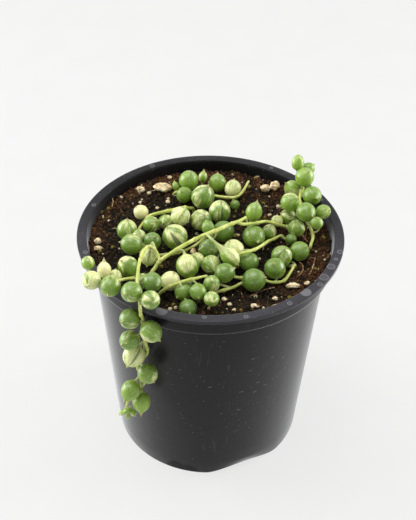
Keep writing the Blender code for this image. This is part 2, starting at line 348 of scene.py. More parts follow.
# %% The pot's section
POT_HEIGHT = 100.0
RIM_OUTER, RIM_INNER, RIM_DEPTH = 52.5, 48.6, 1.6
BAND_OUTER, BAND_DEPTH = 49.6, 9.4
WALL_TOP, BASE_OUTER, WALL = 46.4, 39.1, 1.3
FLOOR_Z, FLOOR_THICK = 5.0, 1.4
POT_SIDES = 360
WALL_RINGS = 14
BEND_STEPS = 5


def rounded(corners):
    """Points of a section. Each corner is (radius, z, how far its round reaches)."""
    out = []
    for k, (r, z, reach) in enumerate(corners):
        here = Vector((r, z))
        if reach == 0.0:
            out.append(here)
            continue
        before = Vector(corners[k - 1][:2]) - here
        after = Vector(corners[k + 1][:2]) - here
        start, end = here + before.normalized() * reach, here + after.normalized() * reach
        for i in range(BEND_STEPS + 1):
            t = i / BEND_STEPS
            out.append(start * (1 - t) ** 2 + here * 2 * t * (1 - t) + end * t * t)
    return out


def pot_section():
    """Up the outside from the middle of the underside, over the rim and down to the floor."""
    band = POT_HEIGHT - BAND_DEPTH
    rim = POT_HEIGHT - RIM_DEPTH
    inner_base = BASE_OUTER - WALL
    corners = [
        (0.0, FLOOR_Z, 0.0), (inner_base - 0.6, FLOOR_Z, 0.5), (inner_base - 0.8, 0.0, 0.2),
        (BASE_OUTER - 0.15, 0.0, 0.5)]
    for k in range(WALL_RINGS):
        t = 0.012 + 0.968 * k / (WALL_RINGS - 1)
        corners.append((BASE_OUTER + (WALL_TOP - BASE_OUTER) * t, (band - 0.9) * t, 0.0))
    corners += [
        (WALL_TOP + 0.02, band - 0.55, 0.35), (BAND_OUTER - 0.55, band - 0.15, 0.3),
        (BAND_OUTER - 0.3, band + 0.7, 0.4), (BAND_OUTER - 0.12, band + 4.0, 0.0),
        (BAND_OUTER, rim - 0.1, 0.35), (RIM_OUTER - 0.1, rim - 0.02, 0.35),
        (RIM_OUTER, POT_HEIGHT - 0.02, 0.5), (RIM_INNER, POT_HEIGHT, 0.45),
        (RIM_INNER - 0.25, POT_HEIGHT - 1.9, 0.5),
        (BAND_OUTER - WALL - 0.4, band + 0.8, 0.4), (WALL_TOP - WALL, band - 0.8, 0.4),
        (inner_base + 0.4, FLOOR_Z + FLOOR_THICK + 0.2, 0.6),
        (0.0, FLOOR_Z + FLOOR_THICK, 0.0)]
    return rounded(corners)


print("points in the section:", len(pot_section()))

# %% Turn the section and shape the foot
ARCHES = 3
ARCH_FIRST, ARCH_HALF, ARCH_HEIGHT = math.radians(-65.0), math.radians(25.0), 4.2
DRAIN_HOLES, DRAIN_RADIUS, DRAIN_CIRCLE = 8, 3.2, 27.0
ROD_SIDES = 32
SHARP_ANGLE = math.radians(50.0)  # edges sharper than this stay hard


def turned(section, sides, shape=None):
    """Points and faces of a section turned about Z. shape(radius, z, angle) may move a point."""
    points, rows = [], []
    for r, z in section:
        if r < 1e-6:
            rows.append([len(points)] * sides)
            points.append((0.0, 0.0, z))
            continue
        rows.append(list(range(len(points), len(points) + sides)))
        for k in range(sides):
            angle = 2.0 * math.pi * k / sides
            radius, height = shape(r, z, angle) if shape else (r, z)
            points.append((radius * math.cos(angle), radius * math.sin(angle), height))
    faces = []
    for low, high in zip(rows, rows[1:]):
        for k in range(sides):
            n = (k + 1) % sides
            faces.append(list(dict.fromkeys([low[k], low[n], high[n], high[k]])))
    return points, faces


def arch_height(angle):
    """How far the foot is lifted at this angle, by one of its soft, evenly spaced arches."""
    pitch = 2.0 * math.pi / ARCHES
    off = (angle - ARCH_FIRST + pitch / 2) % pitch - pitch / 2
    if abs(off) >= ARCH_HALF:
        return 0.0
    return ARCH_HEIGHT * math.cos(0.5 * math.pi * off / ARCH_HALF) ** 1.5


def foot_shape(radius, z, angle):
    """Lift the lowest 5 mm of the wall over each arch."""
    if z >= FLOOR_Z or radius < BASE_OUTER - WALL - 1.0:
        return radius, z
    lift = arch_height(angle)
    return radius, lift + z * (1.0 - lift / FLOOR_Z)


def drain_rods(mat):
    """The rods that the drain holes are cut with."""
    low, high = FLOOR_Z - 2.0, FLOOR_Z + FLOOR_THICK + 2.0
    points, faces = turned([(0.0, low), (DRAIN_RADIUS, low), (DRAIN_RADIUS, high), (0.0, high)], ROD_SIDES)
    rods = []
    for k in range(DRAIN_HOLES):
        angle = ARCH_FIRST + 2.0 * math.pi * (k + 0.5) / DRAIN_HOLES
        shift = Vector((math.cos(angle), math.sin(angle), 0.0)) * DRAIN_CIRCLE
        rods.append(([Vector(p) + shift for p in points], faces))
    return add_mesh("drain_rods", *gathered(rods), mat)


def apply_modifiers(obj):
    """Turn what the modifiers make into the object's own plain mesh."""
    bpy.context.view_layer.update()
    evaluated = obj.evaluated_get(bpy.context.evaluated_depsgraph_get())
    mesh = bpy.data.meshes.new_from_object(evaluated)
    obj.modifiers.clear()
    obj.data = mesh
    return obj


def build_pot(mat):
    pot = add_mesh("black_pot", *turned(pot_section(), POT_SIDES, foot_shape), mat)
    rods = drain_rods(mat)
    cut = pot.modifiers.new("drain_holes", "BOOLEAN")
    cut.operation, cut.solver, cut.object = "DIFFERENCE", "EXACT", rods
    apply_modifiers(pot)
    bpy.data.objects.remove(rods)
    pot.data.set_sharp_from_angle(angle=SHARP_ANGLE)
    return pot


print("arches:", ARCHES, "drain holes:", DRAIN_HOLES)

# %% [markdown]
# ### Black plastic that has been watered
#
# The plastic is near black and half shiny. Its surface is never clean: fine dust, small pale
# specks, faint upright rubs on the wall, and on the rim the rings that drops of water leave when
# they dry. Each ring is a thin band at a set distance from the middle of a drop. The top of the rim
# also gets a painted reflection, paler towards the front, and the foot a near-black patch of painted
# shade where the shadowed inside of a small notch would show.

# %% Finish of the pot
DROPS = [  # angle round the rim, distance from the axis, radius of the drop, how filled it is
    (-13, 51.3, 1.0, 0.25), (-24, 50.2, 1.35, 0.3), (-32, 50.3, 1.5, 0.3), (-45, 50.0, 1.9, 0.9),
    (-18.5, 50.6, 0.6, 0.2), (-37, 51.2, 0.7, 0.3), (-55, 50.8, 0.8, 0.3), (-110, 50.2, 1.9, 0.8),
    (-75, 50.9, 0.7, 0.3), (-92, 49.9, 0.6, 0.2), (-163, 50.0, 0.8, 0.3), (162, 49.8, 0.7, 0.3),
    (26, 49.9, 0.8, 0.3), (60, 50.6, 0.7, 0.2), (120, 50.4, 0.9, 0.2), (-140, 50.7, 0.7, 0.25)]
WORN_SPOT = (0.012, -0.042, 0.055)  # middle of the rubbed part of the wall
# painted shade: middle, reach and strength of near-black patches at the foot, where the shadowed inside of
# a small notch would show
FOOT_SHADE_SPOTS = [((-0.0130, -0.0370, 0.0012), 0.0052, 1.0), ((-0.0075, -0.0385, 0.0004), 0.0056, 0.8)]
EARTH_SPOT = (-0.0280, -0.0285, 0.0020)


def drop_marks(tree, here, cloud):
    """Rings and films left by dried drops, from the list above."""
    marks = 0.0
    for angle, reach, radius, filled in DROPS:
        turn = math.radians(angle)
        centre = Vector((reach * math.cos(turn), reach * math.sin(turn), POT_HEIGHT)) * MM
        away = tree.distance(here, tuple(centre)) + (cloud - 0.5) * 0.0012
        ring = (away - radius * MM).size().fall(0.00003, 0.00030)
        film = away.fall(radius * MM * 0.8, radius * MM) * filled
        marks = (ring * 0.55).at_least(film * 0.5).at_least(marks)
    return marks


def scuffs(tree, here, slant, pick_above):
    """Short pale rubs: stretched cells, of which a few are picked."""
    turned_by = tree.first("ShaderNodeMapping", {"vector_type": "POINT"}, {
        "Vector": here, "Rotation": (0.0, slant, 0.6), "Scale": (0.34, 0.34, 1.5)})
    spots, pick = tree.cells(turned_by, 420.0)
    return spots.fall(0.06, 0.17) * pick.rise(pick_above, pick_above + 0.03)


def plastic_material():
    mat, tree, shader = new_material(
        "black_plastic", Specular_IOR_Level=0.15, Sheen_Weight=0.88, Sheen_Roughness=0.28,
        Sheen_Tint=(0.96, 0.97, 1.0))
    here = tree.place()
    _, y, z = tree.parts(here)
    dust = tree.noise(here, 900.0, detail=5.0, roughness=0.7)
    cloud = tree.noise(here, 60.0, detail=4.0)
    spots, pick = tree.cells(here, 700.0)
    speck = spots.fall(0.08, 0.20) * pick.rise(0.88, 0.92)
    pit = spots.fall(0.10, 0.26) * pick.fall(0.05, 0.09)
    upright = tree.vector("MULTIPLY", here, (1.0, 1.0, 0.10))
    rubs = tree.noise(upright, 700.0, detail=4.0, roughness=0.6).rise(0.56, 0.76) * cloud.rise(0.45, 0.65)
    worn = tree.distance(here, WORN_SPOT).fall(0.012, 0.036)
    scuff = scuffs(tree, here, 0.5, 0.72).at_least(scuffs(tree, here, -0.4, 0.80)) * (worn * 0.85 + 0.12)
    top = z.rise(0.0985, 0.0995)
    rim_dust = tree.noise(here, 1600.0, roughness=0.7).rise(0.56, 0.70) * cloud.rise(0.40, 0.60)
    marks = drop_marks(tree, here, cloud).at_least(rim_dust * 0.45) * top
    pale = (speck * 0.55).at_least(rubs * 0.10).at_least(scuff * 0.60).at_least(marks)
    # painted shade at the foot: near-black patches with ragged edges, which are also made a little rougher
    blot = (cloud - 0.5) * 0.004
    foot_shade = 0.0
    for spot, reach, strength in FOOT_SHADE_SPOTS:
        foot_shade = ((tree.distance(here, spot) + blot).fall(0.0024, reach) * strength).at_least(foot_shade)
    earth = tree.distance(here, EARTH_SPOT).fall(0.0015, 0.0050) * dust.rise(0.45, 0.6)
    base = tree.mix(cloud, (0.0048, 0.0048, 0.0050), (0.0085, 0.0085, 0.0088))
    base = tree.mix(dust.rise(0.5, 0.8) * 0.07, base, (0.16, 0.155, 0.15))
    # painted reflection: the rim's top is painted paler and bluer, a little all round and most towards the
    # front, as the soft box above lights it
    base = tree.mix(top * (y.fall(-0.020, 0.030) * 0.27 + 0.05), base, (0.11, 0.107, 0.125))
    base = tree.mix(pale * 0.55, base, (0.42, 0.42, 0.45))
    # the pits and the painted shade at the foot are near black
    base = tree.mix((pit * 0.8).at_least(foot_shade), base, (0.0012, 0.0010, 0.0008))
    base = tree.mix(earth * 0.6, base, (0.11, 0.055, 0.025))
    skin = tree.noise(here, 260.0, detail=3.0) * 0.6 + dust * 0.25 + pale * 0.3
    coat(tree, shader, base, dust * 0.10 + cloud * 0.08 + pale * 0.25 + foot_shade * 0.4 + 0.22,
         tree.bump(skin, 0.00007))
    return mat


pot = build_pot(plastic_material())
settle(pot, "pot_plastic", "nursery_pot")
print("pot faces:", len(pot.data.polygons))

# %% [markdown]
# ## The soil
#
# Potting soil is peat and fine bark with coir fibres in it: dark crumbs of every size, a few
# rust-brown threads and pale bits of pumice. One bumpy surface alone looks like putty. So the plug
# of soil gets a lumpy top, and a geometry tree scatters thousands of small crumbs on it. Each
# crumb is a ball of only twenty faces that noise pulls out of shape after it is placed.

# %% A tree of geometry nodes and how it is run
def new_growth(name, **inputs):
    """A geometry tree with named number inputs: (group, tree, sockets of its inputs)."""
    group = bpy.data.node_groups.new(name, "GeometryNodeTree")
    group.interface.new_socket("Geometry", in_out="INPUT", socket_type="NodeSocketGeometry")
    group.interface.new_socket("Geometry", in_out="OUTPUT", socket_type="NodeSocketGeometry")
    for label, value in inputs.items():
        kind = "NodeSocketInt" if isinstance(value, int) else "NodeSocketFloat"
        socket = group.interface.new_socket(label, in_out="INPUT", socket_type=kind)
        socket.default_value = value
    tree = Tree(group)
    return group, tree, tree.add("NodeGroupInput").outputs


def close_growth(tree, shape, mat):
    """End the tree: real faces instead of copies, and their material."""
    real = tree.first("GeometryNodeRealizeInstances", None, {0: shape})
    coated = tree.first("GeometryNodeSetMaterial", None, {"Geometry": real, "Material": mat})
    tree.add("NodeGroupOutput", None, {0: coated})


def grow(obj, group, **values):
    """Run the tree on the object with these values, and keep the result as its plain mesh."""
    modifier = obj.modifiers.new(group.name, "NODES")
    modifier.node_group = group
    for item in group.interface.items_tree:
        if item.in_out == "INPUT" and item.name in values:
            modifier[item.identifier] = values[item.name]
    return apply_modifiers(obj)


print("geometry trees ready")

# %% Finish of the soil
DAMP_MIDDLE = (-0.006, -0.008, 0.095)  # the soil is darkest round here and drier by the wall


def soil_material():
    mat, tree, shader = new_material("potting_soil_mix", Specular_IOR_Level=0.16)
    here = tree.place()
    grain = tree.noise(here, 1500.0, detail=5.0, roughness=0.7)
    patch = tree.noise(here, 90.0, detail=4.0, roughness=0.6)
    tone, kind, _ = tree.parts(tree.attribute("crumb"))
    dark = tree.ramp(grain, [(0.34, (0.0012, 0.0008, 0.0003)), (0.50, (0.0060, 0.0040, 0.0014)),
                             (0.60, (0.034, 0.022, 0.009)), (0.70, (0.20, 0.140, 0.070))])
    rust = tree.ramp(grain, [(0.34, (0.008, 0.003, 0.001)), (0.52, (0.066, 0.026, 0.009)),
                             (0.64, (0.24, 0.110, 0.040)), (0.74, (0.48, 0.29, 0.14))])
    by_wall = tree.distance(here, DAMP_MIDDLE).rise(0.030, 0.046)
    colour = tree.mix((patch + by_wall * 0.28 + tone * 0.34).rise(0.74, 0.98), dark, rust)
    colour = tree.mix(kind.rise(0.930, 0.935) * 0.8, colour, (0.28, 0.24, 0.045))
    colour = tree.mix(kind.rise(0.968, 0.972), colour, (0.72, 0.60, 0.38))
    coat(tree, shader, colour, 0.95 - grain * 0.9, tree.bump(grain, 0.0006))
    return mat


SOIL_MIDDLE, SOIL_EDGE, SOIL_RADIUS = 94.2, 95.2, 47.3
SOIL_RINGS, SOIL_SIDES = 66, 220


def soil_height(x, y):
    """The soil's top: low in the middle, higher by the wall, with soft bumps."""
    edge = min(1.0, max(0.0, (math.hypot(x, y) - 30.0) / 15.0))
    bumps = noise.noise(Vector((x / 7.0, y / 7.0, 3.0))) * 0.35
    return SOIL_MIDDLE + (SOIL_EDGE - SOIL_MIDDLE) * edge * edge * (3 - 2 * edge) + bumps


def lumpy_height(x, y):
    lumps = noise.fractal(Vector((x / 3.5, y / 3.5, 7.0)), 0.9, 2.1, 4)
    return soil_height(x, y) + lumps * 0.75


def build_soil(mat):
    """A closed plug that fills the pot, with a lumpy top."""
    band = POT_HEIGHT - BAND_DEPTH
    low = BASE_OUTER - WALL - 1.2
    floor = FLOOR_Z + FLOOR_THICK + 0.3
    section = [(0.0, floor), (low, floor), (low + 0.7, floor + 1.3), (WALL_TOP - WALL - 0.3, band - 1.0),
               (SOIL_RADIUS, band + 1.4), (SOIL_RADIUS + 0.35, SOIL_EDGE - 0.8)]
    section += [(SOIL_RADIUS * (1 - k / SOIL_RINGS), SOIL_EDGE) for k in range(SOIL_RINGS)]
    section += [(0.0, SOIL_EDGE)]

    def shape(radius, z, angle):
        if z < SOIL_EDGE:
            return radius, z
        return radius, lumpy_height(radius * math.cos(angle), radius * math.sin(angle))

    soil = add_mesh("soil_plug", *turned(section, SOIL_SIDES, shape), mat)
    soil.data.vertices[-1].co.z = lumpy_height(0.0, 0.0) * MM
    return soil


soil_mix = soil_material()
soil = build_soil(soil_mix)
print("soil faces:", len(soil.data.polygons))

# %% Crumbs scattered on the soil
LEVEL_ENOUGH = 0.35  # shapes lie only where a face's normal points up by more than this
CRUMPLE_SCALE = 900.0


def scatter_tree(name, mat, make_shape, flat):
    """Copies of one small shape on the faces that look up. flat keeps long shapes lying down."""
    group, tree, given = new_growth(
        name, Density=1.0, Smallest=1.0, Largest=1.0, Crumple=0.0, Seed=0)
    facing = tree.parts(tree.first("GeometryNodeInputNormal"))[2]
    up = facing.math("GREATER_THAN", facing, LEVEL_ENOUGH)
    spread = tree.first("GeometryNodeDistributePointsOnFaces", None, {
        "Mesh": given["Geometry"], "Selection": up, "Density": given["Density"],
        "Seed": given["Seed"]})
    lean = 0.25 if flat else math.pi
    turn = tree.first("FunctionNodeRandomValue", {"data_type": "FLOAT_VECTOR"}, {
        0: (-lean, -lean, -math.pi), 1: (lean, lean, math.pi), "Seed": given["Seed"]})
    small = tree.add("FunctionNodeRandomValue", None, {2: 0.0, 3: 1.0, "Seed": given["Seed"]})
    share = Num(tree, small.outputs[1])
    squared = share * share * share
    low, high = Num(tree, given["Smallest"]), Num(tree, given["Largest"])
    size = low + (high - low) * squared
    placed = tree.first("GeometryNodeInstanceOnPoints", None, {
        "Points": spread, "Instance": make_shape(tree), "Rotation": turn, "Scale": size.socket})
    chance = tree.first("FunctionNodeRandomValue", {"data_type": "FLOAT_VECTOR"}, {
        0: (0.0, 0.0, 0.0), 1: (1.0, 1.0, 1.0), "Seed": 5})
    marked = tree.first("GeometryNodeStoreNamedAttribute", {
        "data_type": "FLOAT_VECTOR", "domain": "INSTANCE"}, {
        "Geometry": placed, "Name": "crumb", "Value": chance})
    real = tree.first("GeometryNodeRealizeInstances", None, {0: marked})
    here = tree.first("GeometryNodeInputPosition")
    shake = tree.add("ShaderNodeTexNoise", None, {"Vector": here, "Scale": CRUMPLE_SCALE, "Detail": 1.0})
    off = tree.vector("SUBTRACT", shake.outputs["Color"], (0.5, 0.5, 0.5))
    off = tree.first("ShaderNodeVectorMath", {"operation": "SCALE"}, {0: off, "Scale": given["Crumple"]})
    moved = tree.first("GeometryNodeSetPosition", None, {"Geometry": real, "Offset": off})
    close_growth(tree, moved, mat)
    return group


def crumb_shape(tree):
    return tree.first("GeometryNodeMeshIcoSphere", None, {"Radius": 1.0, "Subdivisions": 1})


def thread_shape(tree):
    """A thin bent thread, twenty units long."""
    line = tree.first("GeometryNodeCurveQuadraticBezier", None, {
        "Resolution": 7, "Start": (-10.0, 0.0, 0.0), "Middle": (1.0, 5.0, 3.0), "End": (10.0, 0.0, 0.5)})
    ring = tree.first("GeometryNodeCurvePrimitiveCircle", None, {"Resolution": 4, "Radius": 0.42})
    return tree.first("GeometryNodeCurveToMesh", None, {
        "Curve": line, "Profile Curve": ring, "Fill Caps": True})


def scattered(name, group, **values):
    """A copy of the soil's top that the tree turns into scattered shapes."""
    piece = grow(put(name, soil.data.copy()), group, **values)
    piece.data.name = name
    print(name, "faces:", len(piece.data.polygons))
    return piece


crumb_tree = scatter_tree("scatter_crumbs", soil_mix, crumb_shape, flat=False)
thread_tree = scatter_tree("scatter_threads", soil_mix, thread_shape, flat=True)
crumbs = scattered("soil_crumbs", crumb_tree, Density=1.0e6, Smallest=0.30 * MM, Largest=1.15 * MM,
                   Crumple=0.9 * MM, Seed=11)
threads = scattered("coir_threads", thread_tree, Density=5.0e4, Smallest=0.12 * MM, Largest=0.52 * MM,
                    Crumple=1.6 * MM, Seed=4)
settle(soil, "soil", "potting_soil")
settle(crumbs, "soil")
settle(threads, "soil")

# %% [markdown]
# ## Pumice
#
# A few pale lumps of pumice lie on the soil, the largest at the back. Each is a ball of many small
# faces that is stretched, then worn by two sizes of noise.

# %% Lumps of pumice
LUMPS = [  # x, y, height of the middle, half sizes
    (-29.4, 31.7, 96.4, (1.9, 1.2, 1.1)), (22.6, 33.3, 96.9, (2.0, 1.5, 1.6)),
    (26.6, 34.9, 97.1, (1.9, 2.0, 1.9)), (31.3, -27.5, 96.2, (2.6, 1.1, 0.9)),
    (36.7, -26.2, 96.3, (1.1, 0.9, 0.8)), (16.4, -39.1, 96.2, (1.1, 0.8, 0.8)),
    (9.0, -41.5, 96.1, (0.7, 0.6, 0.6)), (24.3, -35.0, 96.2, (1.0, 0.7, 0.7)),
    (5.4, -35.5, 95.9, (1.0, 0.8, 0.8)), (-44.3, -3.4, 96.5, (1.3, 1.2, 1.1)),
    (-43.8, -7.7, 96.3, (1.6, 1.0, 0.9)), (-25.9, 29.6, 96.0, (0.9, 0.7, 0.7)),
    (-17.8, 24.3, 95.7, (0.9, 0.8, 0.7)), (29.1, 41.4, 96.6, (1.0, 0.9, 0.9)),
    (-6.6, -9.0, 96.6, (1.1, 1.0, 1.4)), (7.4, -38.2, 95.9, (0.8, 0.7, 0.6)),
    (-22.0, 20.0, 95.6, (0.7, 0.6, 0.6)), (36.4, 6.5, 96.0, (0.9, 0.7, 0.6))]


def pumice_material():
    mat, tree, shader = new_material("pumice", Specular_IOR_Level=0.3)
    here = tree.place()
    pores = tree.cells(here, 1400.0)[0]
    stain = tree.noise(here, 420.0, detail=4.0, roughness=0.6)
    colour = tree.ramp(stain, [(0.32, (0.50, 0.32, 0.15)), (0.48, (0.82, 0.65, 0.38)),
                               (0.64, (0.95, 0.84, 0.58))])
    colour = tree.mix(pores.fall(0.12, 0.30) * 0.6, colour, (0.22, 0.13, 0.06))
    coat(tree, shader, colour, 0.95 - stain * 0.2, tree.bump(pores.rise(0.0, 0.5) + stain, 0.00035))
    return mat


def worn_lump(centre, half, seed):
    """Points and faces of one lump."""
    ball = bmesh.new()
    bmesh.ops.create_icosphere(ball, subdivisions=4, radius=1.0)
    points = []
    for vert in ball.verts:
        p = vert.co.copy()
        swell = 1.0 + 0.36 * noise.noise(p * 1.4 + seed) + 0.17 * noise.noise(p * 3.6 + seed)
        points.append(tuple(c + q * s * swell for c, q, s in zip(centre, p, half)))
    faces = [[v.index for v in face.verts] for face in ball.faces]
    ball.free()
    return points, faces


pumice = pumice_material()
low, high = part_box("pumice_grain")
middle = [(a + b) / 2 / MM for a, b in zip(low, high)]
half = [(b - a) / 2 / MM for a, b in zip(low, high)]
big_lump = add_mesh("pumice_lump", *worn_lump(middle, half, Vector((2.0, 0.5, 1.0))), pumice)
bits = [worn_lump((x, y, z), size, Vector((k * 3.1, k * 1.7, 0.0)))
        for k, (x, y, z, size) in enumerate(LUMPS)]
small_lumps = add_mesh("pumice_bits", *gathered(bits), pumice)
settle(big_lump, "pumice", "pumice_grain")
settle(small_lumps, "pumice")
print("lumps:", 1 + len(bits))

# %% [markdown]
# ## The strands
#
# Each strand is a soft stem about a millimetre thick that creeps over the soil, roots where it
# touches and swells a little at every joint. It follows a path, so a geometry tree sweeps a ring
# along a smooth curve and lets the ring's size change on the way. Both ends go down into the soil
# or into the strand that they branch from.

# %% Routes of the strands
STRANDS = {  # thickness (radius), then the points of the route
    "main": (0.75, [
        (-23.2, -23.6, 93.5), (-22.5, -22.5, 96.2), (-21.0, -20.5, 97.6), (-19.0, -19.0, 100.0),
        (-15.3, -18.4, 103.0), (-11.5, -16.9, 105.0), (-7.8, -14.7, 106.0), (-4.1, -12.1, 106.5),
        (-0.3, -10.2, 107.0), (3.5, -7.6, 107.0), (7.4, -4.7, 107.0), (10.9, -1.8, 106.5),
        (13.4, 1.4, 105.7)]),
    "branch": (0.6, [
        (10.6, -2.4, 106.3), (12.3, -2.6, 105.6), (14.5, -1.8, 105.2), (17.6, -0.2, 104.4),
        (20.9, 2.2, 103.4), (24.1, 3.1, 102.3), (27.4, 4.2, 100.3), (29.8, 6.5, 97.8),
        (30.5, 8.5, 96.3), (30.8, 9.5, 93.8)]),
    "back": (0.65, [
        (-6.8, 20.0, 93.8), (-7.5, 19.2, 96.3), (-9.0, 17.0, 98.0), (-10.8, 15.3, 99.7),
        (-14.5, 12.1, 101.0), (-18.4, 10.6, 101.0), (-22.3, 8.9, 101.0), (-24.5, 8.4, 100.2),
        (-26.4, 6.6, 99.0), (-28.6, 3.5, 97.0), (-29.6, 2.0, 94.0)]),
    "nest": (0.6, [
        (-16.0, 30.6, 94.0), (-14.5, 30.5, 96.2), (-9.5, 30.2, 96.3), (-4.5, 29.4, 96.5),
        (0.5, 27.0, 97.3), (5.0, 24.8, 98.2), (9.5, 25.2, 97.9), (12.5, 27.4, 98.5),
        (15.5, 32.8, 100.8)]),
    "left": (0.6, [
        (-24.2, -26.0, 93.8), (-25.0, -26.5, 96.3), (-28.0, -28.0, 98.6), (-31.6, -30.4, 100.4),
        (-36.1, -34.0, 101.6), (-40.0, -36.0, 102.4), (-43.5, -33.0, 102.6), (-45.0, -28.5, 102.8)]),
    "trailing": (0.6, [
        (-19.0, -19.0, 100.3), (-20.2, -17.0, 102.0), (-21.6, -16.4, 103.8), (-23.7, -17.0, 105.3),
        (-25.5, -22.9, 106.0), (-26.4, -29.9, 106.0), (-26.3, -36.8, 105.0), (-25.6, -42.6, 103.4),
        (-25.0, -46.4, 101.8), (-24.7, -48.1, 99.2), (-24.2, -46.9, 96.2), (-24.0, -45.6, 93.2),
        (-24.6, -45.7, 89.8), (-25.0, -43.6, 85.6), (-24.2, -41.4, 80.0), (-23.2, -40.8, 73.0),
        (-25.6, -39.8, 68.0), (-27.3, -40.0, 64.0), (-26.0, -39.6, 59.5), (-25.0, -39.6, 54.5),
        (-27.6, -38.6, 50.0), (-30.6, -39.8, 46.5), (-32.2, -42.0, 43.5), (-32.4, -43.8, 41.5)]),
    "front": (0.6, [
        (-19.4, -32.6, 94.2), (-18.2, -33.2, 96.6), (-15.5, -34.6, 100.3), (-13.0, -34.4, 101.8),
        (-9.1, -33.2, 102.5), (-5.4, -31.5, 102.3), (-1.2, -28.6, 101.2)]),
    "front_right": (0.6, [
        (-1.6, -33.8, 94.2), (-0.5, -33.4, 96.4), (2.0, -32.8, 96.8), (5.7, -31.8, 97.2),
        (9.4, -29.8, 97.2), (12.0, -27.2, 96.6), (13.0, -26.0, 94.0)]),
    "knot": (0.6, [
        (9.3, -16.0, 93.8), (9.5, -16.3, 96.3), (10.2, -16.3, 99.5), (11.6, -17.0, 102.6),
        (13.9, -17.6, 104.0), (17.0, -13.8, 102.2), (19.9, -8.9, 100.2), (22.5, -3.9, 98.4),
        (25.0, -0.7, 97.0), (28.0, 2.6, 96.3), (29.5, 4.0, 94.0)]),
    "creeping": (0.6, [
        (1.2, -13.8, 94.0), (2.0, -14.5, 96.2), (5.0, -18.5, 96.2), (8.0, -22.5, 96.3),
        (13.0, -24.0, 96.4), (18.5, -23.8, 96.4), (23.0, -26.2, 96.6), (27.5, -25.5, 96.6),
        (30.3, -21.0, 96.6), (32.3, -16.0, 96.3), (33.0, -14.5, 94.0)]),
    "upright": (0.6, [
        (39.2, -4.0, 93.8), (39.5, -3.0, 96.3), (40.5, 1.0, 97.3), (39.5, 5.5, 98.3),
        (37.5, 10.5, 99.3), (36.5, 15.0, 100.5), (36.0, 21.0, 101.6), (37.2, 25.5, 102.0),
        (37.6, 30.0, 103.4), (36.4, 32.8, 106.0), (35.6, 33.8, 107.4)]),
    "low_left": (0.6, [
        (-31.0, -4.2, 93.6), (-30.0, -5.0, 95.4), (-26.0, -9.2, 95.4), (-20.0, -9.4, 95.0),
        (-13.0, -8.0, 94.8), (-7.0, -4.0, 94.9), (-2.0, 1.5, 95.4), (1.0, 6.5, 95.4),
        (1.6, 8.0, 93.6)]),
}


def smooth_route(points, step):
    """Points about `step` apart on a Catmull-Rom curve through the route's own points."""
    route = [Vector(p) for p in points]
    route = [2 * route[0] - route[1], *route, 2 * route[-1] - route[-2]]
    out = []
    for a, b, c, d in zip(route, route[1:], route[2:], route[3:]):
        count = max(1, round((c - b).length / step))
        for k in range(count):
            t = k / count
            out.append(0.5 * (2 * b + (c - a) * t + (2 * a - 5 * b + 4 * c - d) * t * t
                              + (3 * b - a - 3 * c + d) * t * t * t))
    return [*out, route[-2]]


LINES = {name: smooth_route(points, 0.5) for name, (_, points) in STRANDS.items()}
lengths = {name: sum((b - a).length for a, b in zip(line, line[1:])) for name, line in LINES.items()}
print("strand lengths (mm):", {name: round(length) for name, length in lengths.items()})

# %% Sweep the stems
def stem_material():
    mat, tree, shader = new_material(
        "green_stem", Specular_IOR_Level=0.4, Subsurface_Weight=0.15, Subsurface_Scale=0.001,
        Subsurface_Radius=(1.0, 0.9, 0.4))
    here = tree.place()
    joint = tree.parts(tree.attribute("growth"))[0]
    mottle = tree.noise(here, 260.0, detail=4.0, roughness=0.6)
    streak = tree.noise(tree.vector("MULTIPLY", tree.attribute("growth"), (0.4, 2.5, 0.25)),
                        6.0, detail=2.0)
    colour = tree.ramp(mottle * 0.7 + streak * 0.3, [
        (0.32, (0.29, 0.36, 0.055)), (0.50, (0.51, 0.57, 0.14)), (0.68, (0.77, 0.77, 0.33))])
    colour = tree.mix(joint * mottle.rise(0.42, 0.62) * 0.55, colour, (0.36, 0.22, 0.07))
    coat(tree, shader, colour, 0.38 + mottle * 0.25, tree.bump(streak + mottle * 0.6, 0.00012))
    return mat


STEM_SIDES = 14
STEM_STEP, JOINT_SPACING = 0.4, 8.5
SWELLING, UNEVENNESS = 0.35, 0.35


def stem_tree(name, mat):
    """Sweep a ring along the line, thicker at every joint and thinner towards the end."""
    group, tree, given = new_growth(
        name, Thickness=1.0, Step=1.0, Joint_spacing=1.0, Swelling=0.3, Unevenness=0.1)
    line = tree.first("GeometryNodeMeshToCurve", None, {"Mesh": given["Geometry"]})
    line = tree.first("GeometryNodeCurveSplineType", {"spline_type": "CATMULL_ROM"}, {0: line})
    line = tree.first("GeometryNodeResampleCurve", {"mode": "LENGTH"}, {
        "Curve": line, "Length": given["Step"]})
    along = tree.add("GeometryNodeSplineParameter").outputs
    run, share = Num(tree, along["Length"]), Num(tree, along["Factor"])
    spacing = Num(tree, given["Joint_spacing"])
    wave = run.math("PINGPONG", run, spacing * 0.5)
    near = 1.0 - wave.math("DIVIDE", wave, spacing * 0.5)
    joint = near.rise(0.80, 1.0)
    rough = Num(tree, tree.first("ShaderNodeTexNoise", None, {"Scale": 330.0, "Detail": 2.0}))
    taper = 1.0 - share.rise(0.72, 1.0) * 0.25
    width = (1.0 + joint * given["Swelling"] + (rough - 0.5) * given["Unevenness"]) * taper
    width = width * given["Thickness"]
    facts = tree.first("ShaderNodeCombineXYZ", None, {0: joint, 1: 0.0, 2: run * 1000.0})
    line = tree.first("GeometryNodeStoreNamedAttribute", {"data_type": "FLOAT_VECTOR"}, {
        "Geometry": line, "Name": "growth", "Value": facts})
    ring = tree.first("GeometryNodeCurvePrimitiveCircle", None, {"Resolution": STEM_SIDES, "Radius": 1.0})
    tube = tree.first("GeometryNodeCurveToMesh", None, {
        "Curve": line, "Profile Curve": ring, "Scale": width, "Fill Caps": True})
    smooth = tree.first("GeometryNodeSetShadeSmooth", None, {"Geometry": tube})
    close_growth(tree, smooth, mat)
    return group


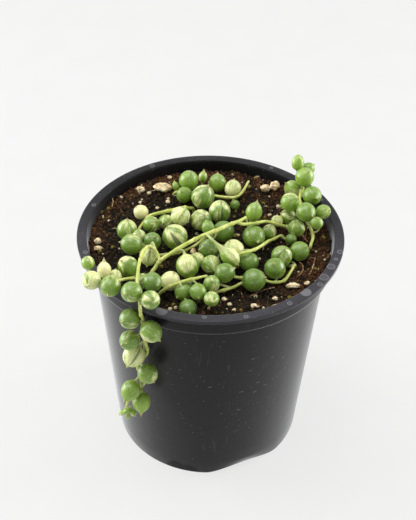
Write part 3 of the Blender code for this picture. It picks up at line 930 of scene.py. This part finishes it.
def build_stem(name, thickness, route, group):
    """One stem along a route given in millimetres."""
    mesh = bpy.data.meshes.new(name)
    mesh.from_pydata([Vector(p) * MM for p in route], [(k, k + 1) for k in range(len(route) - 1)], [])
    return grow(put(name, mesh), group, Thickness=thickness * MM, Step=STEM_STEP * MM,
                Joint_spacing=JOINT_SPACING * MM, Swelling=SWELLING, Unevenness=UNEVENNESS)


green_stem = stem_material()
sweep_stem = stem_tree("sweep_stem", green_stem)
for name, (thickness, route) in STRANDS.items():
    stem = build_stem(f"strand_{name}", thickness, route, sweep_stem)
    settle(stem, "stem", f"stem_{name}")
print("faces in the last stem:", len(stem.data.polygons))

# %% [markdown]
# ### Loose twigs
#
# A few dry twigs lie on the soil. They are thin and bent like the strands, so the same sweeping
# tree makes them, with bark instead of green skin.

# %% Lay the twigs
TWIGS = [  # half thickness, then the points of the route
    (0.26, [(35.5, 2.8, 97.1), (36.6, 0.8, 96.9), (38.6, -1.2, 96.2)]),
    (0.20, [(38.3, 6.4, 96.2), (38.0, 4.0, 97.0), (37.3, 0.4, 96.6)]),
    (0.26, [(40.6, -11.1, 96.3), (39.9, -15.1, 97.0), (38.9, -18.9, 96.9), (37.6, -21.4, 96.2)]),
    (0.18, [(34.6, -13.6, 96.0), (35.6, -17.0, 96.8), (34.8, -20.4, 96.6), (32.7, -22.4, 95.9)]),
    (0.22, [(-40.6, 19.6, 96.0), (-40.2, 22.0, 97.0), (-41.2, 26.0, 96.2)]),
    (0.16, [(15.0, -33.5, 95.8), (19.5, -31.0, 96.5), (24.4, -28.3, 95.9)])]


def twig_material():
    mat, tree, shader = new_material("dry_twig", Specular_IOR_Level=0.25, Roughness=0.7)
    bark = tree.noise(tree.place(), 700.0, detail=4.0, roughness=0.6)
    coat(tree, shader, tree.ramp(bark, [
        (0.35, (0.07, 0.030, 0.014)), (0.52, (0.26, 0.13, 0.060)), (0.66, (0.55, 0.40, 0.24))]))
    return mat


sweep_twig = stem_tree("sweep_twig", twig_material())
for k, (thickness, route) in enumerate(TWIGS):
    twig = build_stem(f"twig_{k + 1}", thickness, route, sweep_twig)
    settle(twig, "soil")
print("twigs:", len(TWIGS))

# %% [markdown]
# ## The leaves
#
# A leaf of this plant is a bead full of water: a thin stalk that widens into the bead, a small
# point at the far end, and from stalk to point a dark clear slit through which light gets in. This
# plant is a variegated one, so each bead is streaked from stalk to point with green and cream, and
# some beads are nearly all cream.
#
# Each leaf is one closed skin: rings along a bent centre line, from inside the stem, up the stalk,
# round the bead and out to the point. The rings carry their place on the bead as an attribute, so
# the streaks and the slit follow the leaf whichever way it lies. The plain solids give each bead's
# middle and size.

# %% How each leaf lies and how it is marked
def seen(right, up, near):
    """A direction given as it looks from the front and above."""
    level, steep = math.cos(ELEVATION), math.sin(ELEVATION)
    return Vector((right, up * steep - near * level, up * level + near * steep)).normalized()


def look(tip=None, slit=(0.2, -0.3, 1.0), side=(0.0, 0.6, 0.8), pale=0.0, tone=0.4, cut=0.0, long=1.05,
         lean=0.0, point=0.24, neck=0.25):
    """How one leaf looks.

    tip, slit, side: which way its point, its slit and its paler half face.
    pale: -1 all green, 0 streaked, 1 all cream. lean: how much paler the paler half is.
    tone: 0 deep green, 1 light green. cut: how dark the slit is. long: length over width.
    point, neck: how far the point and the neck reach out of the bead, as a share of its radius.
    """
    return {"tip": tip, "slit": slit, "side": side, "pale": pale, "tone": tone, "cut": cut,
            "long": long, "lean": lean, "point": point, "neck": neck}


LOOKS = {
    "main_1": look((0.25, -0.9, 0.3), (-0.12, 0.3, 1.0), (0.0, 0.45, 1.0), -0.8, 0.55, 0.4,
                   1.06, 1.6, 0.5),
    "main_2": look((0.22, 0.85, 0.35), (-0.9, 0.2, 0.3), (0.9, -0.4, 0.2), -0.38, 0.75,
                   long=1.18, lean=0.4, point=0.42, neck=0.5),
    "branch_1": look((0.2, 0.5, 0.8), pale=-0.45, tone=0.35, side=(0.3, -0.8, 0.3), lean=0.2),
    "branch_2": look((-0.6, 0.6, 0.5), pale=0.05, tone=0.5),
    "back_1": look((0.3, 0.4, 0.9), pale=0.50, tone=0.7),
    "back_2": look((0.5, 0.3, 0.8), (0.35, -0.1, 1.0), pale=-0.05, tone=0.6, cut=0.9),
    "back_3": look((0.05, 0.8, 0.6), side=(0.8, 0.5, 0.3), pale=0.0, tone=0.6, lean=0.5, point=0.36),
    "nest_1": look((0.2, 0.7, 0.7), pale=-0.6, tone=0.65),
    "nest_2": look((-0.3, 0.3, 0.9), pale=-0.4, tone=0.5),
    "nest_3": look((0.35, 0.75, 0.6), pale=0.10, tone=0.35, point=0.36),
    "nest_4": look((0.0, 0.85, 0.5), pale=-0.65, tone=0.6, point=0.32),
    "nest_5": look((0.3, 0.7, 0.5), pale=0.45, tone=0.7),
    "left_1": look((-0.3, 0.1, 0.9), side=(-0.5, 0.8, 0.4), pale=-0.15, tone=0.4, lean=0.5),
    "left_2": look((-0.1, -0.7, 0.7), side=(0.1, 0.9, 0.2), pale=-0.35, tone=0.45, lean=0.4),
    "left_3": look((-0.2, -0.5, 0.9), side=(0.8, 0.4, 0.4), pale=0.45, tone=0.7, lean=0.4),
    "trailing_1": look((0.3, -0.6, 0.8), (0.1, 0.1, 1.0), pale=0.25, tone=0.8, cut=0.9),
    "trailing_2": look((0.5, -0.3, 0.8), pale=-0.55, tone=0.15),
    "trailing_3": look((-0.5, -0.2, 0.9), side=(0.7, -0.6, 0.2), pale=-0.3, tone=0.45, lean=0.5),
    "trailing_4": look((0.4, -0.2, 0.9), side=(0.0, 0.9, 0.5), pale=-0.02, tone=0.4, lean=0.4),
    "trailing_5": look((-0.6, -0.3, 0.7), side=(-0.2, -0.9, 0.3), pale=-0.38, tone=0.35, lean=0.45),
    "trailing_6": look((0.75, -0.75, 0.15), (-0.35, -0.85, 0.5), (-0.35, -0.95, 0.1), -0.38, 0.55, 0.5,
                       1.06, 0.65),
    "trailing_7": look((-0.6, -0.4, 0.6), side=(0.2, 0.9, 0.5), pale=-0.42, tone=0.4, lean=0.4),
    "trailing_8": look((-0.5, -0.85, 0.05), (0.3, 0.0, 1.0), (0.2, 0.3, 0.9), 0.35, 0.9, 0.9, lean=0.3),
    "trailing_9": look((0.5, -0.6, 0.5), side=(0.7, -0.6, 0.0), pale=-0.42, tone=0.45, lean=0.55),
    "trailing_10": look((-0.45, -0.85, 0.15), side=(0.5, 0.5, 0.6), pale=-0.6, tone=0.65, long=1.12,
                        lean=0.2, point=0.45),
    "trailing_11": look((0.0, -0.95, 0.2), pale=-0.50, tone=0.85, long=1.14, point=0.45),
    "front_right_1": look((0.9, 0.3, 0.2), (0.1, 0.2, 1.0), (0.6, 0.6, 0.0), -0.55, 0.25, 0.3, lean=0.4),
    "front_right_2": look((0.8, 0.2, 0.5), pale=-0.95, tone=0.15),
    "knot_1": look((-0.3, 0.5, 0.8), pale=0.50, tone=0.7),
    "knot_2": look((0.65, -0.6, -0.1), (0.6, 0.5, 0.7), (0.9, 0.5, 0.2), -0.1, 0.8, 0.2,
                   1.25, 0.9, 0.2, 1.3),
    "knot_3": look((0.3, -0.7, 0.5), side=(1.0, -0.1, -0.25), pale=-0.62, tone=0.3, lean=0.95),
    "creeping_1": look((-0.2, 0.4, 0.9), pale=-0.7, tone=0.25),
    "creeping_2": look((0.2, 0.6, 0.75), (-0.25, 0.1, 1.0), (-0.3, 0.1, 1.0), -0.15, 0.4, 0.9, 1.05, 0.25),
    "creeping_3": look((0.5, 0.4, 0.7), pale=-0.5, tone=0.35),
    "upright_1": look((1.0, 0.05, 0.25), pale=-0.25, tone=0.6),
    "upright_2": look((0.5, -0.4, 0.8), (-0.2, 0.6, 0.9), pale=-0.45, tone=0.45, cut=0.3),
    "upright_3": look((0.3, -0.3, 0.9), (0.05, 0.3, 0.95), pale=-0.35, tone=0.5, cut=0.7),
    "upright_4": look((-0.75, 0.5, 0.6), pale=0.05, tone=0.85, long=1.12, point=0.4, neck=0.4),
    "upright_5": look((0.3, 0.5, 0.8), pale=-0.3, tone=0.8, long=1.08),
    "low_left_1": look((0.1, 0.7, 0.7), (0.22, 0.1, 1.0), (-0.2, 0.2, 1.0), 0.15, 0.5, 1.0, 1.05, 0.3),
    "low_left_2": look((0.3, 0.4, 0.9), side=(0.0, 0.9, 0.5), pale=0.0, tone=0.3, lean=0.35),
    "low_left_3": look((0.3, 0.4, 0.9), pale=-0.55, tone=0.15),
    "low_left_4": look((-0.5, 0.6, 0.6), (-0.15, 0.05, 1.0), (0.3, 0.8, 0.7), 0.10, 0.55, 1.6, 1.02, 0.45),
    "low_left_5": look((-0.95, 0.15, 0.35), side=(0.5, 0.9, 0.3), pale=-0.42, tone=0.35,
                       lean=0.35, neck=0.7),
    "low_left_6": look((0.2, 0.5, 0.8), pale=-0.3, tone=0.2),
}

SMALL_LEAVES = {  # x, y, z of the middle, width, and the look
    "nest": [
        (-3.6, 38.9, 98.1, 4.1, look((0.1, 1.0, 0.4), pale=0.0, tone=1.0, long=1.3, point=0.6)),
        (-14.9, 33.7, 96.7, 3.5, look((-0.3, 1.0, 0.4), pale=-0.3, tone=1.0, long=1.3, point=0.6)),
        (9.8, 21.4, 97.0, 4.0, look((0.4, 0.4, 0.8), pale=-0.4, tone=0.3))],
    "back": [
        (-18.0, 7.5, 98.0, 6.3, look((-0.4, 0.2, 0.9), pale=0.15, tone=0.6)),
        (-28.2, 12.4, 99.1, 6.0, look((-0.4, 0.5, 0.8), pale=0.9, tone=0.8))],
    "low_left": [(-27.9, -3.9, 99.8, 5.4, look((0.2, 0.4, 0.9), pale=0.25, tone=0.5))],
    "main": [(-1.1, -1.3, 102.7, 5.2, look((0.2, 0.6, 0.8), pale=-0.2, tone=0.55))],
    "knot": [
        (23.2, 3.0, 97.8, 5.9, look((0.5, 0.4, 0.8), side=(0.8, 0.3, 0.2), pale=0.25, tone=0.6, lean=0.4)),
        (31.7, -1.1, 97.3, 4.5, look((0.5, 0.0, 0.8), pale=-0.7, tone=0.2))],
    "creeping": [
        (-0.5, -9.9, 98.9, 8.0, look((-0.9, -0.1, 0.5), pale=-0.15, tone=0.15)),
        (0.4, -20.2, 99.4, 7.5, look((0.3, -0.5, 0.8), pale=0.28, tone=0.6)),
        (-5.1, -15.7, 98.0, 6.0, look((-0.2, 0.4, 0.8), pale=0.5, tone=0.7))],
    "branch": [
        (31.1, 12.6, 98.1, 6.4, look((-0.95, 0.2, 0.4), pale=0.1, tone=0.45)),
        (26.4, 8.9, 98.6, 4.7, look((-0.3, 0.5, 0.8), pale=0.6, tone=0.6))],
    "upright": [
        (39.9, 35.0, 105.9, 5.7, look((0.7, 0.5, 0.3), pale=-0.3, tone=0.6)),
        (35.3, 33.0, 110.4, 5.7, look((0.0, 0.9, 0.5), pale=-0.2, tone=0.9, long=1.25)),
        (44.6, 8.7, 103.9, 5.8, look((0.7, 0.2, 0.7), pale=-0.2, tone=0.75)),
        (41.5, 1.2, 104.0, 4.9, look((-0.3, 0.7, 0.7), pale=-0.3, tone=0.6))],
    "left": [
        (-45.2, -28.5, 106.4, 5.1, look(
            (-0.1, 0.8, 0.6), side=(0.6, 0.4, 0.2), pale=-0.15, tone=0.85, lean=0.4)),
        (-39.2, -30.0, 104.4, 5.5, look((0.0, 1.0, 0.3), pale=1.0, tone=1.0, long=1.15, point=0.7)),
        (-35.3, -28.9, 100.3, 5.1, look((0.2, 0.9, 0.4), pale=0.5, tone=0.8)),
        (-24.9, -30.8, 100.0, 5.9, look((0.2, 0.4, 0.9), pale=0.35, tone=0.4))],
    "front": [
        (-14.7, -28.8, 98.6, 7.4, look((0.3, 0.7, 0.6), pale=0.8, tone=0.6)),
        (-9.8, -34.4, 98.2, 6.6, look((-0.6, -0.2, 0.7), pale=-0.35, tone=0.45)),
        (-4.3, -37.6, 101.0, 6.3, look((0.1, -0.6, 0.8), pale=-0.45, tone=0.5)),
        (0.7, -32.6, 100.9, 6.3, look((0.0, 0.3, 0.95), pale=-0.1, tone=0.45)),
        (-7.8, -43.0, 97.9, 6.5, look((0.2, -0.5, 0.8), pale=-0.5, tone=0.1))],
    "front_right": [
        (0.7, -41.7, 101.4, 5.7, look(
            (0.1, -0.3, 0.9), side=(0.0, 0.9, 0.4), pale=-0.1, tone=0.6, lean=0.45))],
    "trailing": [
        (-31.8, -45.2, 44.6, 3.0, look((-0.6, -0.6, 0.4), pale=-0.1, tone=0.9, long=1.35)),
        (-29.3, -44.6, 43.0, 2.6, look((0.5, -0.8, 0.3), pale=-0.1, tone=0.9, long=1.4)),
        (-33.8, -43.2, 41.6, 2.4, look((-0.6, -0.7, 0.3), pale=0.1, tone=1.0, long=1.5)),
        (-31.6, -43.2, 39.6, 2.1, look((0.1, -1.0, 0.2), pale=0.1, tone=1.0, long=1.6))],
}
print("leaves:", len(LOOKS) + sum(map(len, SMALL_LEAVES.values())))

# %% Measure the solid beads
def bead_of(node):
    """Middle and radius of the round part of a solid leaf, in millimetres."""
    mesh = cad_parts[node].data
    places = np.array([v.co[:] for v in mesh.vertices]) / MM
    for _ in range(3):
        system = np.hstack([2 * places, np.ones((len(places), 1))])
        answer = np.linalg.lstsq(system, (places ** 2).sum(axis=1), rcond=None)[0]
        centre = answer[:3]
        radius = math.sqrt(answer[3] + centre @ centre)
        off = np.abs(np.linalg.norm(places - centre, axis=1) - radius)
        places = places[off <= max(np.percentile(off, 75), 0.02)]
    return Vector(centre), radius


beads = {name: bead_of(f"pearl_{name}") for name in LOOKS}
widths = sorted(round(2 * radius, 1) for _, radius in beads.values())
print("beads measured:", len(beads), "widths", widths[0], "to", widths[-1])

# %% One leaf's skin
STALK_RADIUS = 0.42
BEAD_SIDES = 34
SECTION_STEPS = 34
STALK_STEPS = 8
POINT_FROM, NECK_FROM = 0.66, 0.60  # where the point and the neck begin, in half lengths
POINT_BASE, NECK_BASE = 0.58, 0.66  # how thick they are there, in half widths
UNEVEN, GROOVE_DEPTH = 0.035, 0.025  # of the bead and of its slit, as a share of the ring's radius
SLIT_HALF = 0.13  # half the slit's width, as a share of the bead's radius


def soft_max(a, b, blur):
    return 0.5 * (a + b + math.sqrt((a - b) ** 2 + blur * blur))


def section_of_leaf(half_length, half_width, point, neck):
    """(place along the axis, radius) from the neck, round the bead, to the tip of the point."""
    out = []
    low, high = -half_length - neck, half_length + point
    for k in range(SECTION_STEPS):
        z = (low + high) / 2 - math.cos(math.pi * k / SECTION_STEPS) * (high - low) / 2
        share = z / half_length
        bead = half_width * math.sqrt(max(0.0, 1.0 - share ** 2)) * (1.0 - 0.05 * share)
        to_tip = (z - POINT_FROM * half_length) / (high - POINT_FROM * half_length)
        to_neck = (z + NECK_FROM * half_length) / (low + NECK_FROM * half_length)
        cone = 0.0
        if to_tip > 0.0:
            cone = POINT_BASE * half_width * max(0.0, 1.0 - to_tip) ** 1.35
        elif to_neck > 0.0:
            cone = STALK_RADIUS + (
                NECK_BASE * half_width - STALK_RADIUS) * max(0.0, 1.0 - to_neck) ** 1.5
        out.append((z, soft_max(bead, cone, 0.04 * half_width)))
    return out


def bent_line(foot, neck, axis):
    """Points of the stalk's middle, from inside the stem to the neck, and their directions."""
    reach = (neck - foot).length
    first = foot + (neck - foot).normalized() * reach * 0.4
    second = neck - axis * reach * 0.45
    places, ways = [], []
    for k in range(STALK_STEPS):
        t = k / STALK_STEPS
        places.append(foot * (1 - t) ** 3 + first * 3 * t * (1 - t) ** 2
                      + second * 3 * t * t * (1 - t) + neck * t ** 3)
        ways.append(((first - foot) * (1 - t) ** 2 + (second - first) * 2 * t * (1 - t)
                     + (neck - second) * t * t).normalized())
    return places, ways


def leaf_skin(centre, radius, foot, marks, seed):
    """Points and faces of one leaf, and for each point its place on the bead and (paler, up, 0)."""
    outward = (centre - foot).normalized()
    axis = seen(*marks["tip"]) if marks["tip"] else outward
    if axis.dot(outward) < 0.1:
        axis = (axis - outward * (axis.dot(outward) - 0.1)).normalized()
    slit = seen(*marks["slit"])
    slit = (slit - axis * slit.dot(axis)).normalized()
    across = axis.cross(slit)
    half_width = radius * marks["long"] ** (-1 / 3)
    half_length = radius * marks["long"] ** (2 / 3)
    section = section_of_leaf(half_length, half_width, marks["point"] * radius, marks["neck"] * radius)
    neck = centre + axis * section[0][0]
    places, ways = bent_line(foot, neck, axis)

    rings = []  # middle, direction, radius, height on the bead
    length = (neck - foot).length
    for k, (place, way) in enumerate(zip(places, ways)):
        t = k / STALK_STEPS
        flare = 1.0 + 0.6 * (1 - t) ** 3 + 0.1 * t ** 4
        rings.append((place, way, STALK_RADIUS * min(1.0, radius / 3.0) * flare,
                      (section[0][0] - (1 - t) * length) / half_length))
    for z, ring_radius in section:
        rings.append((centre + axis * z, axis, max(ring_radius, 0.02), z / half_length))

    points, skin, faces = [], [], []
    side = slit
    frames = []
    for place, way, _, _ in reversed(rings):  # carry the slit's direction down the stalk
        side = (side - way * side.dot(way)).normalized()
        frames.append(side)
    frames.reverse()
    for (place, way, ring_radius, height), right in zip(rings, frames):
        forward = way.cross(right)
        for k in range(BEAD_SIDES):
            angle = 2.0 * math.pi * k / BEAD_SIDES
            x, y = math.cos(angle), math.sin(angle)
            size = ring_radius
            if height > -1.0:
                uneven = noise.noise(Vector((x * 0.9, y * 0.9, height * 0.9)) + seed)
                groove = math.exp(-(y * ring_radius / (SLIT_HALF * radius)) ** 2) if x > 0 else 0.0
                depth = GROOVE_DEPTH * groove * marks["cut"] * max(0.0, 1 - height ** 2)
                size *= 1.0 + UNEVEN * uneven - depth
            points.append(place + (right * x + forward * y) * size)
            skin.append((x * ring_radius / half_width, y * ring_radius / half_width, height))
    last = len(rings) - 1
    for ring in range(last):
        for k in range(BEAD_SIDES):
            n = (k + 1) % BEAD_SIDES
            a, b = ring * BEAD_SIDES, (ring + 1) * BEAD_SIDES
            faces.append((a + k, a + n, b + n, b + k))
    faces.append(tuple(reversed(range(BEAD_SIDES))))
    reach = half_length + marks["point"] * radius
    points.append(centre + axis * reach)
    skin.append((0.0, 0.0, reach / half_length))
    tip = len(points) - 1
    rim = last * BEAD_SIDES
    faces += [(rim + k, rim + (k + 1) % BEAD_SIDES, tip) for k in range(BEAD_SIDES)]
    paler = Matrix((slit, across, axis)) @ seen(*marks["side"]) * marks["lean"]
    spots = [(paler.dot(s), (p.z - centre.z) / radius, 0.0) for p, s in zip(points, map(Vector, skin))]
    return points, faces, skin, spots


sample = leaf_skin(Vector((0, 0, 5)), 4.0, Vector((0, 0, -1)), look(), Vector())
print("faces in one leaf:", len(sample[1]))

# %% [markdown]
# ### Skin of the leaves
#
# Noise that is stretched from stalk to point gives the streaks. A broad one decides where the skin
# is cream, a finer one frays the borders, and a third draws the hair-thin pale lines. The slit is a
# spindle along the side that the mesh calls its front. The upper side gets a painted reflection, a
# greyer and paler green; the lower side gets painted light shining through, a lighter and yellower
# green; and light goes a little way into the flesh.

# %% Finish of the leaves
def leaf_material():
    mat, tree, shader = new_material(
        "leaf_skin", Specular_IOR_Level=0.62, Subsurface_Weight=0.18, Subsurface_Scale=0.0012,
        Subsurface_Radius=(0.8, 1.0, 0.2), Sheen_Weight=0.30, Sheen_Roughness=0.25,
        Sheen_Tint=(0.92, 1.0, 0.80))
    skin = tree.attribute("skin")
    x, y, z = tree.parts(skin)
    pale, tone, cut = tree.parts(tree.attribute("leaf_marks"))
    side, up, _ = tree.parts(tree.attribute("leaf_place"))
    level = tree.vector("MULTIPLY", skin, (1.0, 1.0, 0.0))
    round_it = tree.vector("NORMALIZE", level)
    round_it = tree.vector("MULTIPLY", round_it, (0.45, 0.45, 0.0))
    flat = tree.vector("MULTIPLY", skin, (0.75, 0.75, 0.34))
    along = tree.vector("ADD", round_it, flat)
    along = tree.vector("ADD", along, tree.attribute("leaf_seed"))
    broad = tree.noise(along, 1.15, detail=1.0)
    streak = tree.noise(along, 4.5, detail=3.0, roughness=0.6)
    hair = tree.noise(along, 13.0, detail=2.0)
    speckle = tree.noise(tree.vector("ADD", skin, tree.attribute("leaf_seed")), 9.0, detail=4.0)

    share = (broad - 0.5) * 2.2 + (streak - 0.5) * 0.62 + (hair - 0.5) * 0.22 + side + pale
    cream = share.rise(-0.12, 0.55)
    deep = tree.ramp(streak * 0.7 + hair * 0.3, [
        (0.30, (0.040, 0.105, 0.006)), (0.50, (0.072, 0.160, 0.012)), (0.70, (0.120, 0.230, 0.024))])
    light = tree.ramp(streak * 0.7 + hair * 0.3, [
        (0.30, (0.175, 0.310, 0.024)), (0.50, (0.250, 0.400, 0.040)), (0.70, (0.350, 0.490, 0.080))])
    # tone is the leaf's own green; the lower part is also painted lighter, as painted light shining
    # through the flesh
    green = tree.mix((tone + up.fall(-0.75, 0.35) * 0.30).at_most(1.0), deep, light)
    # painted reflection: the upper side is mixed towards a greyer pale green, as the soft box above would
    # light it
    green = tree.mix(up.rise(0.25, 1.0) * 0.20, green, (0.26, 0.34, 0.12))
    green = tree.mix(hair.rise(0.56, 0.68) * 0.28, green, (0.50, 0.58, 0.30))
    green = tree.mix(speckle.rise(0.55, 0.75) * 0.18, green, (0.45, 0.52, 0.26))
    milk = tree.ramp(streak * 0.5 + hair * 0.5, [
        (0.36, (0.43, 0.51, 0.16)), (0.48, (0.67, 0.70, 0.30)), (0.62, (0.88, 0.86, 0.50))])
    milk = tree.mix(pale.rise(0.6, 1.0) * 0.8, milk, (0.90, 0.82, 0.46))
    # painted light shining through: the lower part of the cream is painted a yellower green
    milk = tree.mix(up.fall(-0.85, 0.10) * 0.45, milk, (0.50, 0.60, 0.17))
    colour = tree.mix(cream * 0.90, green, milk)
    stalk = z.fall(-0.98, -0.80)
    colour = tree.mix(stalk * 0.85, colour, (0.46, 0.50, 0.20))
    colour = tree.mix(z.rise(1.0, 1.10) * 0.8, colour, (0.40, 0.34, 0.12))
    spindle = (1.0 - z * z) * cut * SLIT_HALF + (streak - 0.5) * 0.07
    window = (y.size() - spindle).fall(-0.05, 0.03) * x.rise(0.0, 0.12) * z.size().fall(0.80, 0.97)
    window = window * cut.at_most(1.0)
    colour = tree.mix(window * 0.80, colour, (0.060, 0.105, 0.024))
    coat(tree, shader, colour, 0.15 + speckle * 0.17 + cream * 0.04 - window * 0.06,
         tree.bump(streak * 0.5 + speckle * 0.4 + hair * 0.2 - window * 0.5, 0.00018))
    return mat


def strand_of(name):
    return name.rsplit("_", 1)[0]


def nearest_on(line, place):
    """The point of a strand's line that is nearest to a place."""
    return min(line, key=lambda point: (point - place).length_squared)


FEET = {  # leaves that hang from another strand than the one they lie by
    "knot_2": ("main", (-1.5, -10.8, 106.8)), "low_left_5": ("trailing", (-23.7, -17.0, 105.3))}


def leaves_of(strand):
    """(middle, radius, foot, marks) of every leaf of a strand."""
    out = []
    for name, (centre, radius) in beads.items():
        if strand_of(name) == strand:
            foot = nearest_on(LINES[strand], centre)
            if name in FEET:
                foot = nearest_on(LINES[FEET[name][0]], Vector(FEET[name][1]))
            out.append((centre, radius, foot, LOOKS[name]))
    for x, y, z, width, marks in SMALL_LEAVES.get(strand, []):
        centre = Vector((x, y, z))
        out.append((centre, width / 2, nearest_on(LINES[strand], centre), marks))
    return out


def build_leaves(strand, mat, draw):
    """One mesh with all leaves of a strand, and what each point knows about its leaf."""
    shapes = []
    facts = {"skin": [], "leaf_place": [], "leaf_marks": [], "leaf_seed": []}
    for centre, radius, foot, marks in leaves_of(strand):
        seed = Vector(draw.uniform(0.0, 40.0, 3))
        points, faces, skin, spots = leaf_skin(centre, radius, foot, marks, seed)
        shapes.append((points, faces))
        facts["skin"] += skin
        facts["leaf_place"] += spots
        facts["leaf_marks"] += [(marks["pale"], marks["tone"], marks["cut"])] * len(points)
        facts["leaf_seed"] += [tuple(seed)] * len(points)
    leaves = add_mesh(f"leaves_{strand}", *gathered(shapes), mat)
    for name, values in facts.items():
        attribute = leaves.data.attributes.new(name, "FLOAT_VECTOR", "POINT")
        attribute.data.foreach_set("vector", np.array(values, dtype=np.float32).ravel())
    return leaves


leaf_skin_finish = leaf_material()
draw = np.random.default_rng(7)
for strand in STRANDS:
    leaves = build_leaves(strand, leaf_skin_finish, draw)
    settle(leaves, "leaf", *[f"pearl_{name}" for name in LOOKS if strand_of(name) == strand])
    print(leaves.name, "faces:", len(leaves.data.polygons))
